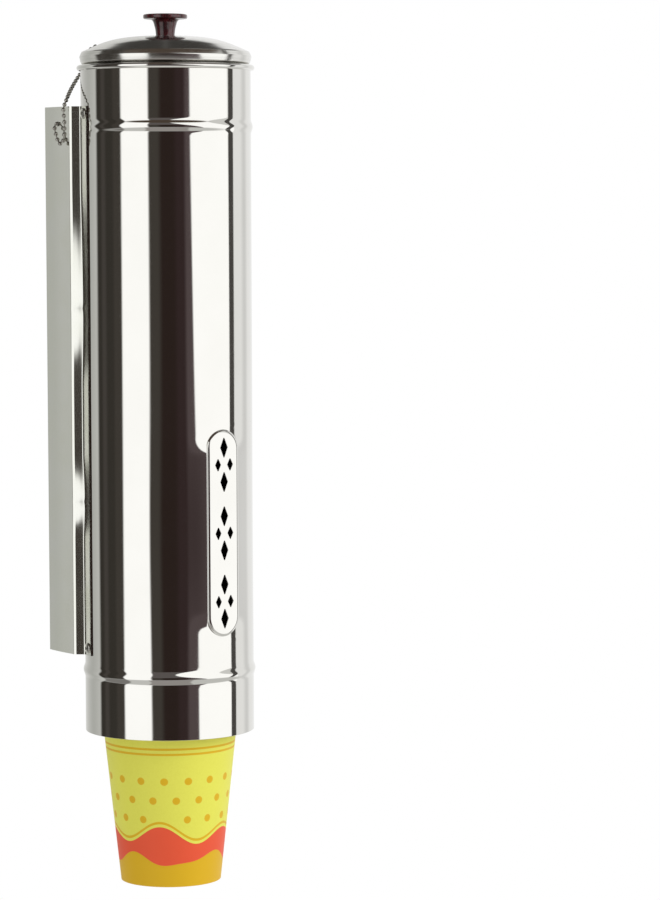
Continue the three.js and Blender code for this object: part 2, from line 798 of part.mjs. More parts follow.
// The chain's route, from above the stop, over the lid's edge, down past the bracket's top edge,
// round a hanging loop and in through the hole. These points are the cord's own and stay as chosen.
const chainRoute = [
  [-15.85, 39.22, 380.8],
  [-15.88, 39.3, 382.5],
  [-16.3, 40.4, 384.1],
  [-17.1, 42.3, 384.4],
  [-17.9, 44.3, 383.3],
  [-18.5, 45.8, 380.4],
  [-19.1, 47.0, 376.4],
  [-21.6, 47.2, 371.6],
  [-28.6, 43.9, 366.0],
  [-37.6, 37.4, 360.2],
  [-46.0, 30.4, 354.6],
  [-50.8, 27.4, 348.6],
  [-51.3, 26.2, 342.0],
  [-51.3, 26.2, 335.6],
  [-51.2, 27.6, 331.0],
  [-51.1, 30.2, 329.4],
  [-50.9, 32.8, 331.4],
  [-50.7, 34.8, 335.0],
  [-50.4, 36.2, 338.2],
  [-49.5, 36.8, 340.0],
  [-48.2, 36.8, 340.5],
  [-46.7, 36.8, 340.5],
].map((place) => new THREE.Vector3(...place));
const chainCurve = new THREE.CatmullRomCurve3(chainRoute, false, "centripetal");
const chainSection = shapeOf(arc(0, 0, chainRadius, 0, 2 * Math.PI, 8).slice(0, 8));
const chain = new THREE.ExtrudeGeometry(chainSection, { steps: chainSteps, extrudePath: chainCurve });
assembly.add(piece("bead_chain", chain, chainSteel));

// The wall's surface becomes y = 0 and the middle of the bracket z = 0
assembly.position.set(0, -wallSurfaceY, -bracketMiddleHeight);
const dispenser = new THREE.Group();
dispenser.add(assembly);

export default dispenser;
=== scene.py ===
# A wall-hung cup dispenser, dressed for its picture: a polished tube and lid on a folded bracket, with paper
# cups at its foot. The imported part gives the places, and each piece is made afresh over its solid. Lengths
# in a section are millimetres from the tube's axis and foot, and one function makes them metres.
import bpy
import numpy as np
from mathutils import Matrix, Vector
from mathutils.geometry import delaunay_2d_cdt


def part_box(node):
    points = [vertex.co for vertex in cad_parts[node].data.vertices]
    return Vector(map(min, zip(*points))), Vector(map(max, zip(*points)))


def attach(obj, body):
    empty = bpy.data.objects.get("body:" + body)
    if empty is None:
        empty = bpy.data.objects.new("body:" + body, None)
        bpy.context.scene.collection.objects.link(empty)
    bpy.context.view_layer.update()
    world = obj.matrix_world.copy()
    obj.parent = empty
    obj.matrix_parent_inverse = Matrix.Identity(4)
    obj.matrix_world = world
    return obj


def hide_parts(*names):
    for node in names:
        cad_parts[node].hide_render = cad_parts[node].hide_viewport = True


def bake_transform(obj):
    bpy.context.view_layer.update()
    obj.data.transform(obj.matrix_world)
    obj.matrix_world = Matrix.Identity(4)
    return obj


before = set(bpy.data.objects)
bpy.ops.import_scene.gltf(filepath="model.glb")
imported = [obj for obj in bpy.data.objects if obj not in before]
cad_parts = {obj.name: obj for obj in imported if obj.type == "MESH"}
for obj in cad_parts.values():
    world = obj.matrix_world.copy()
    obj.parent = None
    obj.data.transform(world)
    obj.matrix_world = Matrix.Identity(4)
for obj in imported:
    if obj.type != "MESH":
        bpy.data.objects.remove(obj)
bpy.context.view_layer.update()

# Camera: it stands to the left of the dispenser and a little above it, as in the left-hand view of the
# photograph, and a long lens keeps the tube's sides upright.
camera_place = Vector((-1.2172, -1.5548, 0.0995))
camera_turn, camera_pitch, camera_roll = np.radians((-41.803, 4.128, -0.207))
camera_data = bpy.data.cameras.new("photo_camera")
camera_data.lens = 137.4
camera = bpy.data.objects.new("photo_camera", camera_data)
camera.matrix_world = (
    Matrix.Translation(camera_place)
    @ Matrix.Rotation(camera_turn, 4, "Z")
    @ Matrix.Rotation(np.pi / 2 - camera_pitch, 4, "X")
    @ Matrix.Rotation(camera_roll, 4, "Z")
)
bpy.context.collection.objects.link(camera)
bpy.context.scene.camera = camera
bpy.context.scene.view_settings.view_transform = "Standard"

# Bead chain: hollow nickelled balls of 2.4 mm on thin links, 3.5 mm apart. It comes up through the lid, lies
# over its edge at the back, hangs in a short loop beside the bracket and goes into a hole in its side wall.
chain_route = [
    (-0.01585, -0.01778, 0.1838),
    (-0.01588, -0.01770, 0.1855),
    (-0.01630, -0.01660, 0.1871),
    (-0.01710, -0.01470, 0.1874),
    (-0.01790, -0.01270, 0.1863),
    (-0.01850, -0.01120, 0.1834),
    (-0.01910, -0.01000, 0.1794),
    (-0.02160, -0.00980, 0.1746),
    (-0.02860, -0.01310, 0.1690),
    (-0.03760, -0.01960, 0.1632),
    (-0.04600, -0.02660, 0.1576),
    (-0.05080, -0.02960, 0.1516),
    (-0.05130, -0.03080, 0.1450),
    (-0.05130, -0.03080, 0.1386),
    (-0.05120, -0.02940, 0.1340),
    (-0.05110, -0.02680, 0.1324),
    (-0.05090, -0.02420, 0.1344),
    (-0.05070, -0.02220, 0.1380),
    (-0.05040, -0.02080, 0.1412),
    (-0.04950, -0.02020, 0.1430),
    (-0.04820, -0.02020, 0.1435),
    (-0.04670, -0.02020, 0.1435),
]
ball_radius = 0.0012
link_radius = 0.0004
ball_spacing = 0.0035
chain_sides = 12
crease_angle = np.radians(32)


def linear(colour):
    """An sRGB hex colour as linear red, green and blue with an alpha of 1."""
    shares = np.array([int(colour[i : i + 2], 16) for i in (1, 3, 5)]) / 255
    steps = np.where(shares <= 0.04045, shares / 12.92, ((shares + 0.055) / 1.055) ** 2.4)
    return (*steps.tolist(), 1.0)


def add_node(tree, kind, inputs=None, **settings):
    """Adds a shader node, sets its properties, and fills its inputs with links or constants."""
    added = tree.nodes.new("ShaderNode" + kind)
    for name, value in settings.items():
        setattr(added, name, value)
    for socket, source in (inputs or {}).items():
        if isinstance(source, bpy.types.NodeSocket):
            tree.links.new(source, added.inputs[socket])
        else:
            added.inputs[socket].default_value = source
    return added


def new_finish(name, constants):
    """A material with one Principled shader whose constants sit on its own sockets."""
    material = bpy.data.materials.new(name)
    material.use_nodes = True
    shader = material.node_tree.nodes["Principled BSDF"]
    for socket, value in constants.items():
        shader.inputs[socket].default_value = value
    return material, material.node_tree, shader


def mixed(tree, share, first, second):
    """The first colour at a share of 0 and the second at 1, or a mix of both between."""
    return add_node(tree, "MixRGB", {"Fac": share, "Color1": first, "Color2": second}).outputs[0]


def noise(size, detail, upright=1.0, span=()):
    """A pattern of noise of a size in metres: an upright share below 1 draws it out into upright lines, and
    a span of its middle levels is stretched to the whole range from 0 to 1."""

    def pattern(tree, place):
        if upright != 1.0:
            place = add_node(tree, "Mapping", {"Vector": place, "Scale": (1.0, 1.0, upright)}).outputs[0]
        level = add_node(tree, "TexNoise", {"Vector": place, "Scale": 1 / size, "Detail": detail}).outputs[0]
        if span:
            middle = {"Value": level, "From Min": span[0], "From Max": span[1]}
            level = add_node(tree, "MapRange", middle).outputs[0]
        return level

    return pattern


def varied_finish(name, constants, pattern, tones, rough=(), bump=()):
    """A material whose pattern mixes two tones. Where they are given, the pattern also sets the roughness
    between two values, over its whole range or between two of its levels that follow them, and lifts the
    surface by a strength and a depth in metres."""
    material, tree, shader = new_finish(name, constants)
    level = pattern(tree, add_node(tree, "TexCoord").outputs["Object"])
    tone = mixed(tree, level, linear(tones[0]), linear(tones[1]))
    tree.links.new(tone, shader.inputs["Base Color"])
    if rough:
        sway = {"Value": level, **dict(zip(("To Min", "To Max", "From Min", "From Max"), rough))}
        tree.links.new(add_node(tree, "MapRange", sway).outputs[0], shader.inputs["Roughness"])
    if bump:
        lift = {"Height": level, "Strength": bump[0], "Distance": bump[1]}
        tree.links.new(add_node(tree, "Bump", lift).outputs[0], shader.inputs["Normal"])
    return material


def grid_quads(rows, columns, around=False):
    """Corner numbers of the quads between neighbouring rows and columns of a grid of points, counted along
    the rows; `around` also joins the last column to the first."""
    row = np.arange(rows - 1)[:, None] * columns
    here = np.arange(columns if around else columns - 1)[None, :]
    there = (here + 1) % columns
    corners = [row + here, row + there, row + columns + there, row + columns + here]
    return np.stack(corners, -1).reshape(-1, 4)


def joined(parts):
    """One mesh from parts of points, quads and finish numbers. Points in the same thousandth of a millimetre
    become one, a quad that loses a corner becomes a triangle, and one that loses more is dropped."""
    points = np.concatenate([part[0] for part in parts])
    starts = np.cumsum([0] + [len(part[0]) for part in parts])
    cells = np.floor(points * 1e6 + 0.37).astype(np.int64)
    _, first, merged = np.unique(cells, axis=0, return_index=True, return_inverse=True)
    merged = merged.ravel()
    quads = np.concatenate([merged[part[1] + start] for part, start in zip(parts, starts)])
    finish = np.concatenate([np.full(len(part[1]), part[2]) for part in parts])
    lost = quads == np.roll(quads, -1, axis=1)
    whole = lost.sum(axis=1) == 0
    cut = lost.sum(axis=1) == 1
    triangles = quads[cut][~lost[cut]].reshape(-1, 3)
    return points[first], [quads[whole], triangles], np.concatenate([finish[whole], finish[cut]])


def make_piece(name, parts, finishes, body="root", replaces=()):
    """Puts parts into a new mesh object at the origin, smooth but for edges sharper than the crease
    angle."""
    points, faces, finish = joined(parts)
    sizes = np.concatenate([np.full(len(group), group.shape[1]) for group in faces])
    corners = np.concatenate([group.ravel() for group in faces])
    mesh = bpy.data.meshes.new(name)
    mesh.vertices.add(len(points))
    mesh.vertices.foreach_set("co", points.ravel())
    mesh.loops.add(len(corners))
    mesh.loops.foreach_set("vertex_index", corners.astype(np.int32))
    mesh.polygons.add(len(sizes))
    mesh.polygons.foreach_set("loop_start", (np.cumsum(sizes) - sizes).astype(np.int32))
    mesh.polygons.foreach_set("material_index", finish.astype(np.int32))
    mesh.update(calc_edges=True)
    mesh.validate()
    mesh.shade_smooth()
    mesh.set_sharp_from_angle(angle=crease_angle)
    for material in finishes:
        mesh.materials.append(material)
    made = bpy.data.objects.new(name, mesh)
    bpy.context.collection.objects.link(made)
    if body:
        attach(made, body)
    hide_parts(*replaces)
    return made


def spline(knots, steps):
    """A centripetal Catmull-Rom curve: between two knots a cubic, whose end slopes come from the knots on
    both sides, each spaced by the square root of its distance."""
    knots = np.asarray(knots, float)
    knots = np.vstack([2 * knots[0] - knots[1], knots, 2 * knots[-1] - knots[-2]])
    before, here, there, after = knots[:-3], knots[1:-2], knots[2:-1], knots[3:]
    gaps = np.sqrt(np.linalg.norm(np.diff(knots, axis=0), axis=1))[:, None]
    first, middle, last = gaps[:-2], gaps[1:-1], gaps[2:]
    leave = (here - before) / first - (there - before) / (first + middle) + (there - here) / middle
    arrive = (there - here) / middle - (after - here) / (middle + last) + (after - there) / last
    t = np.linspace(0, 1, steps, endpoint=False)[:, None, None]
    curve = (2 * t**3 - 3 * t**2 + 1) * here + (t**3 - 2 * t**2 + t) * leave * middle
    curve = curve + (3 * t**2 - 2 * t**3) * there + (t**3 - t**2) * arrive * middle
    return np.vstack([curve.transpose(1, 0, 2).reshape(-1, knots.shape[1]), knots[-2:-1]])


def chain_strand(line):
    """Rings square to a line: a ball's ring at the angle a from its middle has the ball's radius times cos a
    and stands its radius times sin a along, out to the angle where the link's radius takes over."""
    along = np.concatenate([[0], np.cumsum(np.linalg.norm(np.diff(line, axis=0), axis=1))])
    count = round(along[-1] / ball_spacing)
    middles = (np.arange(count) + 0.5) * along[-1] / count
    reach = np.arccos(link_radius / ball_radius)
    swing = np.linspace(-reach, reach, 11)
    places = (middles[:, None] + ball_radius * np.sin(swing)).ravel()
    places = np.concatenate([[0, 0], places, [along[-1], along[-1]]])
    radii = np.tile(ball_radius * np.cos(swing), count)
    radii = np.concatenate([[0, link_radius], radii, [link_radius, 0]])
    centres = np.stack([np.interp(places, along, line[:, k]) for k in range(3)], -1)
    slopes = np.gradient(line, along + np.arange(len(along)) * 1e-9, axis=0)
    ahead = np.stack([np.interp(places, along, slopes[:, k]) for k in range(3)], -1)
    ahead /= np.linalg.norm(ahead, axis=1)[:, None]
    across = np.cross(ahead, (0.8, 0.6, 0))
    across /= np.linalg.norm(across, axis=1)[:, None]
    upright = np.cross(ahead, across)
    turn = np.linspace(0, 2 * np.pi, chain_sides, endpoint=False)[None, :, None]
    spokes = np.cos(turn) * across[:, None] + np.sin(turn) * upright[:, None]
    points = centres[:, None] + radii[:, None, None] * spokes
    return points.reshape(-1, 3), grid_quads(len(places), chain_sides, around=True), 0, along[-1]


# Nickel plate over brass: bright grey, a little soft from handling, darker in blotches
nickel_plate = varied_finish(
    "nickel plated brass", {"Metallic": 1.0}, noise(0.004, 2.0), ("#D6D4CC", "#8F8C84"), rough=(0.12, 0.3)
)

chain_line = spline(chain_route, 24)
*strand, chain_length = chain_strand(chain_line)
bead_chain = make_piece(
    "ball_chain", [strand], [nickel_plate], body=None, replaces=["bead_chain"]
)
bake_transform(bead_chain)

# Tube: 0.8 mm stainless sheet rolled and welded down its back, polished to a mirror outside and left with
# its mill finish inside. Its top edge is curled over, and two beads are swaged into it to stiffen it.
tube_low, tube_high = (Vector(corner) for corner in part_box("tube_body"))
tube_axis = (tube_low + tube_high) / 2
tube_radius, tube_sheet, tube_length = 47.5, 0.8, 373
bead_rise, bead_width = 1.0, 8.5
lower_bead, upper_bead = 34.5, tube_length - 34.4
curl_radius, curl_offset = 1.6, 1.3
foot_rounding = 0.15
window_width, window_height, window_middle = 22, 115, 114
slot_width, slot_height, slot_levels = 16.8, 109.8, (54, 174)
bulge_rise, bulge_reach, bulge_ends = 1.2, 10.6, (43, 54)
hollow_depth, hollow_width, hollow_place = 0.3, 14, 28
lip_end = (47.04, 12.2)
lip_angle = np.pi / 2 + np.arctan2(lip_end[1], lip_end[0])
tube_columns = 240


def placed(points):
    """Millimetres from the tube's axis and foot as metres in the part's frame."""
    return np.asarray(points, float).reshape(-1, 3) / 1000 + np.array((tube_axis.x, tube_axis.y, tube_low.z))


def unplaced(points):
    """Metres in the part's frame as millimetres from the tube's axis and foot."""
    return (np.reshape(points, (-1, 3)) - placed((0, 0, 0))) * 1000


def about_axis(radius, angle, height):
    """Points at a radius, an angle from the front and a height."""
    return np.stack(np.broadcast_arrays(radius * np.sin(angle), -radius * np.cos(angle), height), -1)


def step(value, low, high):
    """A cubic step that climbs from 0 at low to 1 at high."""
    share = np.clip((value - low) / (high - low), 0, 1)
    return share * share * (3 - 2 * share)


def bead_lift(distance):
    """Half a cosine wave across the bead's width."""
    wave = bead_rise / 2 * (1 + np.cos(2 * np.pi * distance / bead_width))
    return np.where(np.abs(distance) < bead_width / 2, wave, 0)


def tube_lift(angle, height):
    """How far the sheet stands off a true cylinder, at an angle from the front and a height: the two beads,
    of which the upper one runs out before the bracket; the rise that meets the flat window's straight sides,
    which falls with the square of the distance from them; a shallow hollow beside that; and slow waves from
    rolling."""
    across = np.abs(tube_radius * angle)
    beads = bead_lift(height - lower_bead)
    runs_out = 1 - step(np.abs(angle), lip_angle - np.radians(8), lip_angle)
    beads = beads + bead_lift(height - upper_bead) * runs_out
    half = window_width / 2
    distance = np.maximum(across - half, 0)
    rise = np.clip(1 - distance / bulge_reach, 0, 1) ** 2 * np.minimum(across / half, 1) ** 2
    rise = rise * (1 - step(np.abs(height - window_middle), *bulge_ends))
    hollow = np.exp(-(((across - hollow_place) / hollow_width) ** 2) - ((height - window_middle) / 60) ** 2)
    ends = step(height, 1, 30) * (1 - step(height, tube_length - 30, tube_length - 6))
    waves = 0.03 * np.sin(3 * angle + height / 90) + 0.02 * np.sin(height / 45 + 2 * np.cos(angle))
    return beads + bulge_rise * rise - hollow_depth * hollow * (1 - step(across, 60, 75)) + waves * ends


def on_tube(across, height, side):
    """Points of the tube's outer face for side 1 or inner face for side 0, at a length across from the
    front. The outer face ends where the curl leaves it, a little lower than the inner one."""
    angle = across / tube_radius
    height = np.minimum(height, curl[0, 1]) if side else height
    radius = tube_radius - tube_sheet * (1 - side) + tube_lift(angle, height)
    return about_axis(radius, angle, height)


def skin(points, around=False, finish=0, flip=False):
    """A grid of points as a part; its outer face is to the right of the rows' direction with the rows
    upwards."""
    rows, columns = points.shape[:2]
    quads = grid_quads(rows, columns, around)
    return placed(points), quads[:, ::-1] if flip else quads, finish


def turned(profile, columns=96):
    """A profile of radius and height carried round the axis, in a number of columns or at given angles; it
    runs counterclockwise round the material."""
    radius, height = np.asarray(profile, float).T[:, :, None]
    angle = np.linspace(-np.pi, np.pi, columns + 1)[None, :] if np.isscalar(columns) else columns[None, :]
    return skin(about_axis(radius, angle, height))


def arc(centre, radius, start, end, steps):
    """Points of an arc, with its ends, at even angles in degrees."""
    angle = np.radians(np.linspace(start, end, steps + 1))
    return np.asarray(centre) + radius * np.stack([np.cos(angle), np.sin(angle)], -1)


def sheet(across, height, place, holes=(), finishes=(0, 0)):
    """Both faces of a bent sheet on the grid lines across and height, where place gives a face's points. A
    hole takes out the cells of a rectangle, and rings run from the rectangle's edge to the hole's
    outline."""
    middle_across = (across[:-1] + across[1:]) / 2
    middle_height = (height[:-1] + height[1:]) / 2
    kept = np.ones((len(height) - 1, len(across) - 1), bool)
    parts = []
    for left, right, low, high, outline in holes:
        kept &= ~np.outer(
            (middle_height > low) & (middle_height < high), (middle_across > left) & (middle_across < right)
        )
        columns = across[(across > left - 0.01) & (across < right + 0.01)]
        rows = height[(height > low - 0.01) & (height < high + 0.01)]
        foot = np.stack([columns[:-1], np.full(len(columns) - 1, rows[0])], -1)
        rise = np.stack([np.full(len(rows) - 1, columns[-1]), rows[:-1]], -1)
        top = np.stack([columns[:0:-1], np.full(len(columns) - 1, rows[-1])], -1)
        fall = np.stack([np.full(len(rows) - 1, columns[0]), rows[:0:-1]], -1)
        edge = np.concatenate([foot, rise, top, fall])
        rim = outline(edge)
        share = np.linspace(0, 1, 5)[:, None, None]
        rings = edge + share * (rim - edge)
        faces = [place(rings[..., 0], rings[..., 1], side) for side in (0, 1)]
        parts.append(skin(faces[1], True, finishes[1]))
        parts.append(skin(faces[0], True, finishes[0], flip=True))
        parts.append(skin(np.stack([faces[1][-1], faces[0][-1]]), True, finishes[0]))
    grid_across, grid_height = np.meshgrid(across, height)
    for side in (0, 1):
        points, quads, finish = skin(place(grid_across, grid_height, side), False, finishes[side], side == 0)
        parts.append((points, quads[kept.ravel()], finish))
    return parts


def stadium_edge(width, height, middle, centre=0.0):
    """Gives each point the nearest one on a stadium: away from its upright middle line by half its width. A
    stadium no taller than it is wide is a circle."""
    radius = width / 2

    def outline(points):
        level = np.clip(points[:, 1], middle - height / 2 + radius, middle + height / 2 - radius)
        spine = np.stack([0 * level + centre, level], -1)
        away = points - spine
        return spine + radius * away / np.linalg.norm(away, axis=1)[:, None]

    return outline


# Polished stainless steel: a mirror, with a faint warm grey and slow smears that dull it here and there
polished_steel = varied_finish(
    "polished stainless steel", {"Metallic": 1.0}, noise(0.03, 3.0), ("#E4E3DF", "#DEDDD8"),
    rough=(0.03, 0.07, 0.3, 0.7),
)

# Mill-finished steel: grey and dull, with fine rolling lines up the sheet, drawn at 0.4 mm so that they show
mill_steel = varied_finish(
    "mill finished stainless steel", {"Metallic": 1.0}, noise(0.0004, 2.0, upright=0.04),
    ("#8E8D88", "#6F6E6A"), rough=(0.35, 0.55),
)

curl_height = tube_length - curl_radius
curl_centre = tube_radius - tube_sheet + curl_offset
curl_leave = -180 + np.degrees(np.arccos((curl_centre - tube_radius) / curl_radius))
curl_meet = 180 + np.degrees(np.arccos(curl_offset / curl_radius))
curl = arc((curl_centre, curl_height), curl_radius, curl_leave, curl_meet, 28)
tube_inner = tube_radius - tube_sheet
heel = arc((tube_inner + foot_rounding, foot_rounding), foot_rounding, -180, -90, 5)
toe = arc((tube_radius - foot_rounding, foot_rounding), foot_rounding, -90, 0, 5)
bead_levels = np.linspace(-bead_width / 2, bead_width / 2, 21)
plain_levels = np.concatenate([np.arange(1.5, 369, 1.5), [0.5, 369.3, 369.7]])
from_beads = np.min(np.abs(plain_levels[:, None] - (lower_bead, upper_bead)), axis=1)
plain_levels = plain_levels[from_beads > bead_width / 2 + 0.3]
levels = [[foot_rounding], plain_levels, lower_bead + bead_levels, upper_bead + bead_levels]
wall_heights = np.unique(np.concatenate(levels + [[curl[-1, 1]], [curl[0, 1]]]))
tube_across = tube_radius * np.linspace(-np.pi, np.pi, tube_columns + 1)
beside_window = window_width / 2 + np.array((-0.25, 0, 0.25, 0.5, 0.8))
tube_across = np.unique(np.concatenate([tube_across, beside_window, -beside_window]))
slot_side = beside_window[0]
slot = (-slot_side, slot_side, *slot_levels, stadium_edge(slot_width, slot_height, window_middle))
tube_angles = tube_across / tube_radius
make_piece(
    "polished_tube",
    sheet(tube_across, wall_heights, on_tube, [slot], finishes=(1, 0))
    + [turned(np.concatenate([heel, toe]), tube_angles), turned(curl, tube_angles)],
    [polished_steel, mill_steel],
    replaces=["tube_body"],
)

# Window: a pressed plate of polished steel in a slot in the tube's front, so that the cups inside can be
# seen through its diamonds. Its skirt sits on the tube, and four tabs of its neck are bent over inside.
window_sheet = 1
window_back = -(tube_radius + 0.3)
window_face = window_back - window_sheet
window_edge = (2.6, 1.3)
tall_diamond, small_diamond = (5.2, 11.8), (4, 7.4)
diamond_pitch, tall_spacing, small_spacing = 38, 19, 8.6
diamond_corner, diamond_edge = 0.35, 0.2
neck_inset, neck_depth = 2.9, -43.9
tab_place, tab_reach, tab_width = 9.6, 2, 2.5


def ring(corners, radius, turns=8, sides=1):
    """A closed outline, counterclockwise: each corner of a convex polygon swollen to an arc of the radius,
    and the straight sides between the arcs in even steps. A larger radius moves the whole outline
    outwards."""
    corners = np.asarray(corners, float)
    along = np.roll(corners, -1, axis=0) - corners
    facing = np.arctan2(-along[:, 0], along[:, 1])
    start = np.roll(facing, 1)
    turn = (facing - start) % (2 * np.pi)
    angle = start[:, None] + turn[:, None] * np.linspace(0, 1, turns + 1)
    arcs = corners[:, None] + radius * np.stack([np.cos(angle), np.sin(angle)], -1)
    ends = arcs[:, -1:]
    starts = np.roll(arcs[:, :1], -1, axis=0)
    share = (np.arange(1, sides) / sides)[None, :, None]
    return np.concatenate([arcs, ends + share * (starts - ends)], axis=1).reshape(-1, 2)


def filled(outer, holes, place, flip=False):
    """A flat face inside an outline with convex holes, as thin quads with their last corner doubled: a
    constrained triangulation without the triangles whose middle lies in a hole."""
    loops = [outer, *holes]
    points = np.concatenate(loops)
    starts = np.cumsum([0] + [len(loop) for loop in loops])
    edges = []
    for start, loop in zip(starts, loops):
        numbers = start + np.arange(len(loop))
        edges += np.stack([numbers, np.roll(numbers, -1)], -1).tolist()
    found = delaunay_2d_cdt([Vector(point) for point in points.tolist()], edges, [], 0, 1e-7, True)
    source = np.array([origins[0] for origins in found[3]])
    triangles = source[np.array(found[2])]
    corners = points[triangles]
    middles = corners.mean(axis=1)
    first, second = corners[:, 1] - corners[:, 0], corners[:, 2] - corners[:, 0]
    turned_back = first[:, 0] * second[:, 1] - first[:, 1] * second[:, 0] < 0
    triangles[turned_back] = triangles[turned_back][:, ::-1]
    for hole in holes:
        side = np.roll(hole, -1, axis=0) - hole
        reach = middles[:, None] - hole
        inside = np.all(side[:, 0] * reach[..., 1] - side[:, 1] * reach[..., 0] > 0, axis=1)
        triangles, middles = triangles[~inside], middles[~inside]
    quads = np.concatenate([triangles, triangles[:, 2:]], axis=1)
    return placed(place(points)), quads[:, ::-1] if flip else quads, 0


def block(low, high):
    """A plain block between two corners."""
    x, y, z = zip(low, high)
    foot = [(x[0], y[0]), (x[1], y[0]), (x[1], y[1]), (x[0], y[1])]
    walls = np.array([[(*corner, level) for corner in foot] for level in z])
    points, quads, _ = skin(walls, around=True)
    caps = np.array([(3, 2, 1, 0), (4, 5, 6, 7)])
    return points, np.concatenate([quads, caps]), 0


def facing_front(depth):
    """Turns points across and upwards into points at one depth, seen from the front."""
    return lambda points: np.stack([points[..., 0], 0 * points[..., 0] + depth, points[..., 1]], -1)


def window_parts():
    """Rings of one stadium, from the neck's inner wall round its end, out over the plate's back, down the
    skirt to the tube, and up over an edge that is a quarter of an ellipse; then both faces and the rounded
    diamonds."""
    half = window_width / 2
    spine = [(0, window_middle - window_height / 2 + half), (0, window_middle + window_height / 2 - half)]
    outline = ring(spine, half, turns=32, sides=46)
    angle = np.arcsin(outline[:, 0] / tube_radius)
    lifted = tube_radius - 0.05 + tube_lift(angle, outline[:, 1])
    on_sheet = -np.sqrt(lifted**2 - outline[:, 0] ** 2)
    edge = arc((1, 1), 1, 180, 270, 12) * window_edge + (0, window_face)
    rows = [
        (neck_inset + window_sheet, window_back),
        (neck_inset + window_sheet, neck_depth),
        (neck_inset, neck_depth),
        (neck_inset, window_back),
        (window_sheet, window_back),
        (window_sheet, on_sheet),
        (0, on_sheet),
        *edge,
        (window_edge[0] + 0.2, window_face),
    ]
    loops = [ring(spine, half - inset, turns=32, sides=46) for inset, _ in rows]
    points = [facing_front(depth)(loop) for loop, (_, depth) in zip(loops, rows)]
    parts = [skin(np.stack(points), around=True)]
    front_holes, back_holes = [], []
    for group in (-1, 0, 1):
        level = window_middle + group * diamond_pitch
        tall = [(0, level + side * tall_spacing / 2, tall_diamond) for side in (-1, 1)]
        small = [(side * small_spacing / 2, level, small_diamond) for side in (-1, 1)]
        for x, z, size in tall + small:
            shrink = 1 - diamond_corner / (size[0] * size[1] / 2 / np.hypot(*size))
            wide, high = shrink * size[0] / 2, shrink * size[1] / 2
            corners = [(x + wide, z), (x, z + high), (x - wide, z), (x, z - high)]
            lip = arc((diamond_edge, window_face + diamond_edge), diamond_edge, -90, -180, 4)
            hole_rows = [(diamond_edge + 0.15, window_face), *lip, (0, window_back)]
            rings = [ring(corners, diamond_corner + grow, turns=5) for grow, _ in hole_rows]
            wall = [facing_front(depth)(loop) for loop, (_, depth) in zip(rings, hole_rows)]
            parts.append(skin(np.stack(wall), around=True))
            front_holes.append(rings[0])
            back_holes.append(rings[-1])
    parts.append(filled(loops[-1], front_holes, facing_front(window_face)))
    parts.append(filled(loops[0], back_holes, facing_front(window_back), flip=True))
    for side in (-1, 1):
        for level in (-1, 1):
            z = window_middle + level * slot_height / 4
            low = (side * tab_place - tab_reach, neck_depth - window_sheet, z - tab_width)
            parts.append(block(low, (side * tab_place + tab_reach, neck_depth, z + tab_width)))
    return parts


make_piece("pressed_window", window_parts(), [polished_steel], replaces=["window_grille"])

# Bracket: one folded stainless sheet. Its lips are riveted and spot welded to the tube, its side walls are
# polished and its plate is left brushed. Keyholes in the plate take two wall screws, with or without the
# pads.
bracket_sheet = 0.8
bracket_foot, bracket_top = 44, 350
bracket_corners = [(46.78, 12.2), (44.69, 20.0), (48.14, 23.7), (48.83, 24.95), (47.44, 38.75), (44.99, 53.0)]
bracket_bends = [1.2, 0.8, 0.5, 140, 2]
keyholes = [(314.5, 1), (79.5, -1)]
keyhole_head, keyhole_slot, keyhole_travel = 4, 2.3, 8.7
keyhole_room, keyhole_ends, chain_room = 6, (-6, 14), 3
chain_hole, chain_depth, chain_level = 1.4, 36.8, 340.5
plate_front = 51.9
weld_pull, weld_reach, weld_inset = 1.2, 10, 1
welds = [(238, 68, 43), (130, 26, 20)]


def rounded(corners, radii, steps=10):
    """An open line whose inner corners become arcs of the given radii, tangent to both sides."""
    corners = np.asarray(corners, float)
    runs = [corners[:1]]
    for before, here, after, radius in zip(corners, corners[1:], corners[2:], radii):
        back = (before - here) / np.linalg.norm(before - here)
        ahead = (after - here) / np.linalg.norm(after - here)
        half = np.arccos(np.clip(back @ ahead, -1, 1)) / 2
        centre = here + (back + ahead) / np.linalg.norm(back + ahead) * radius / np.sin(half)
        first = here + back * radius / np.tan(half) - centre
        last = here + ahead * radius / np.tan(half) - centre
        start, end = (np.arctan2(spoke[1], spoke[0]) for spoke in (first, last))
        turn = (end - start + np.pi) % (2 * np.pi) - np.pi
        runs.append(arc(centre, radius, np.degrees(start), np.degrees(start + turn), steps))
    return np.concatenate(runs + [corners[-1:]])


bracket_half = np.array(bracket_corners)
bracket_line = np.concatenate([bracket_half, bracket_half[::-1] * (-1, 1)])
bracket_section = rounded(bracket_line, bracket_bends + bracket_bends[::-1])
section_steps = np.linalg.norm(np.diff(bracket_section, axis=0), axis=1)
section_along = np.concatenate([[0], np.cumsum(section_steps)])
section_slope = np.gradient(bracket_section, section_along, axis=0)
section_slope /= np.linalg.norm(section_slope, axis=1)[:, None]
fold_along = np.hypot(*(bracket_half[1] - bracket_half[0]))


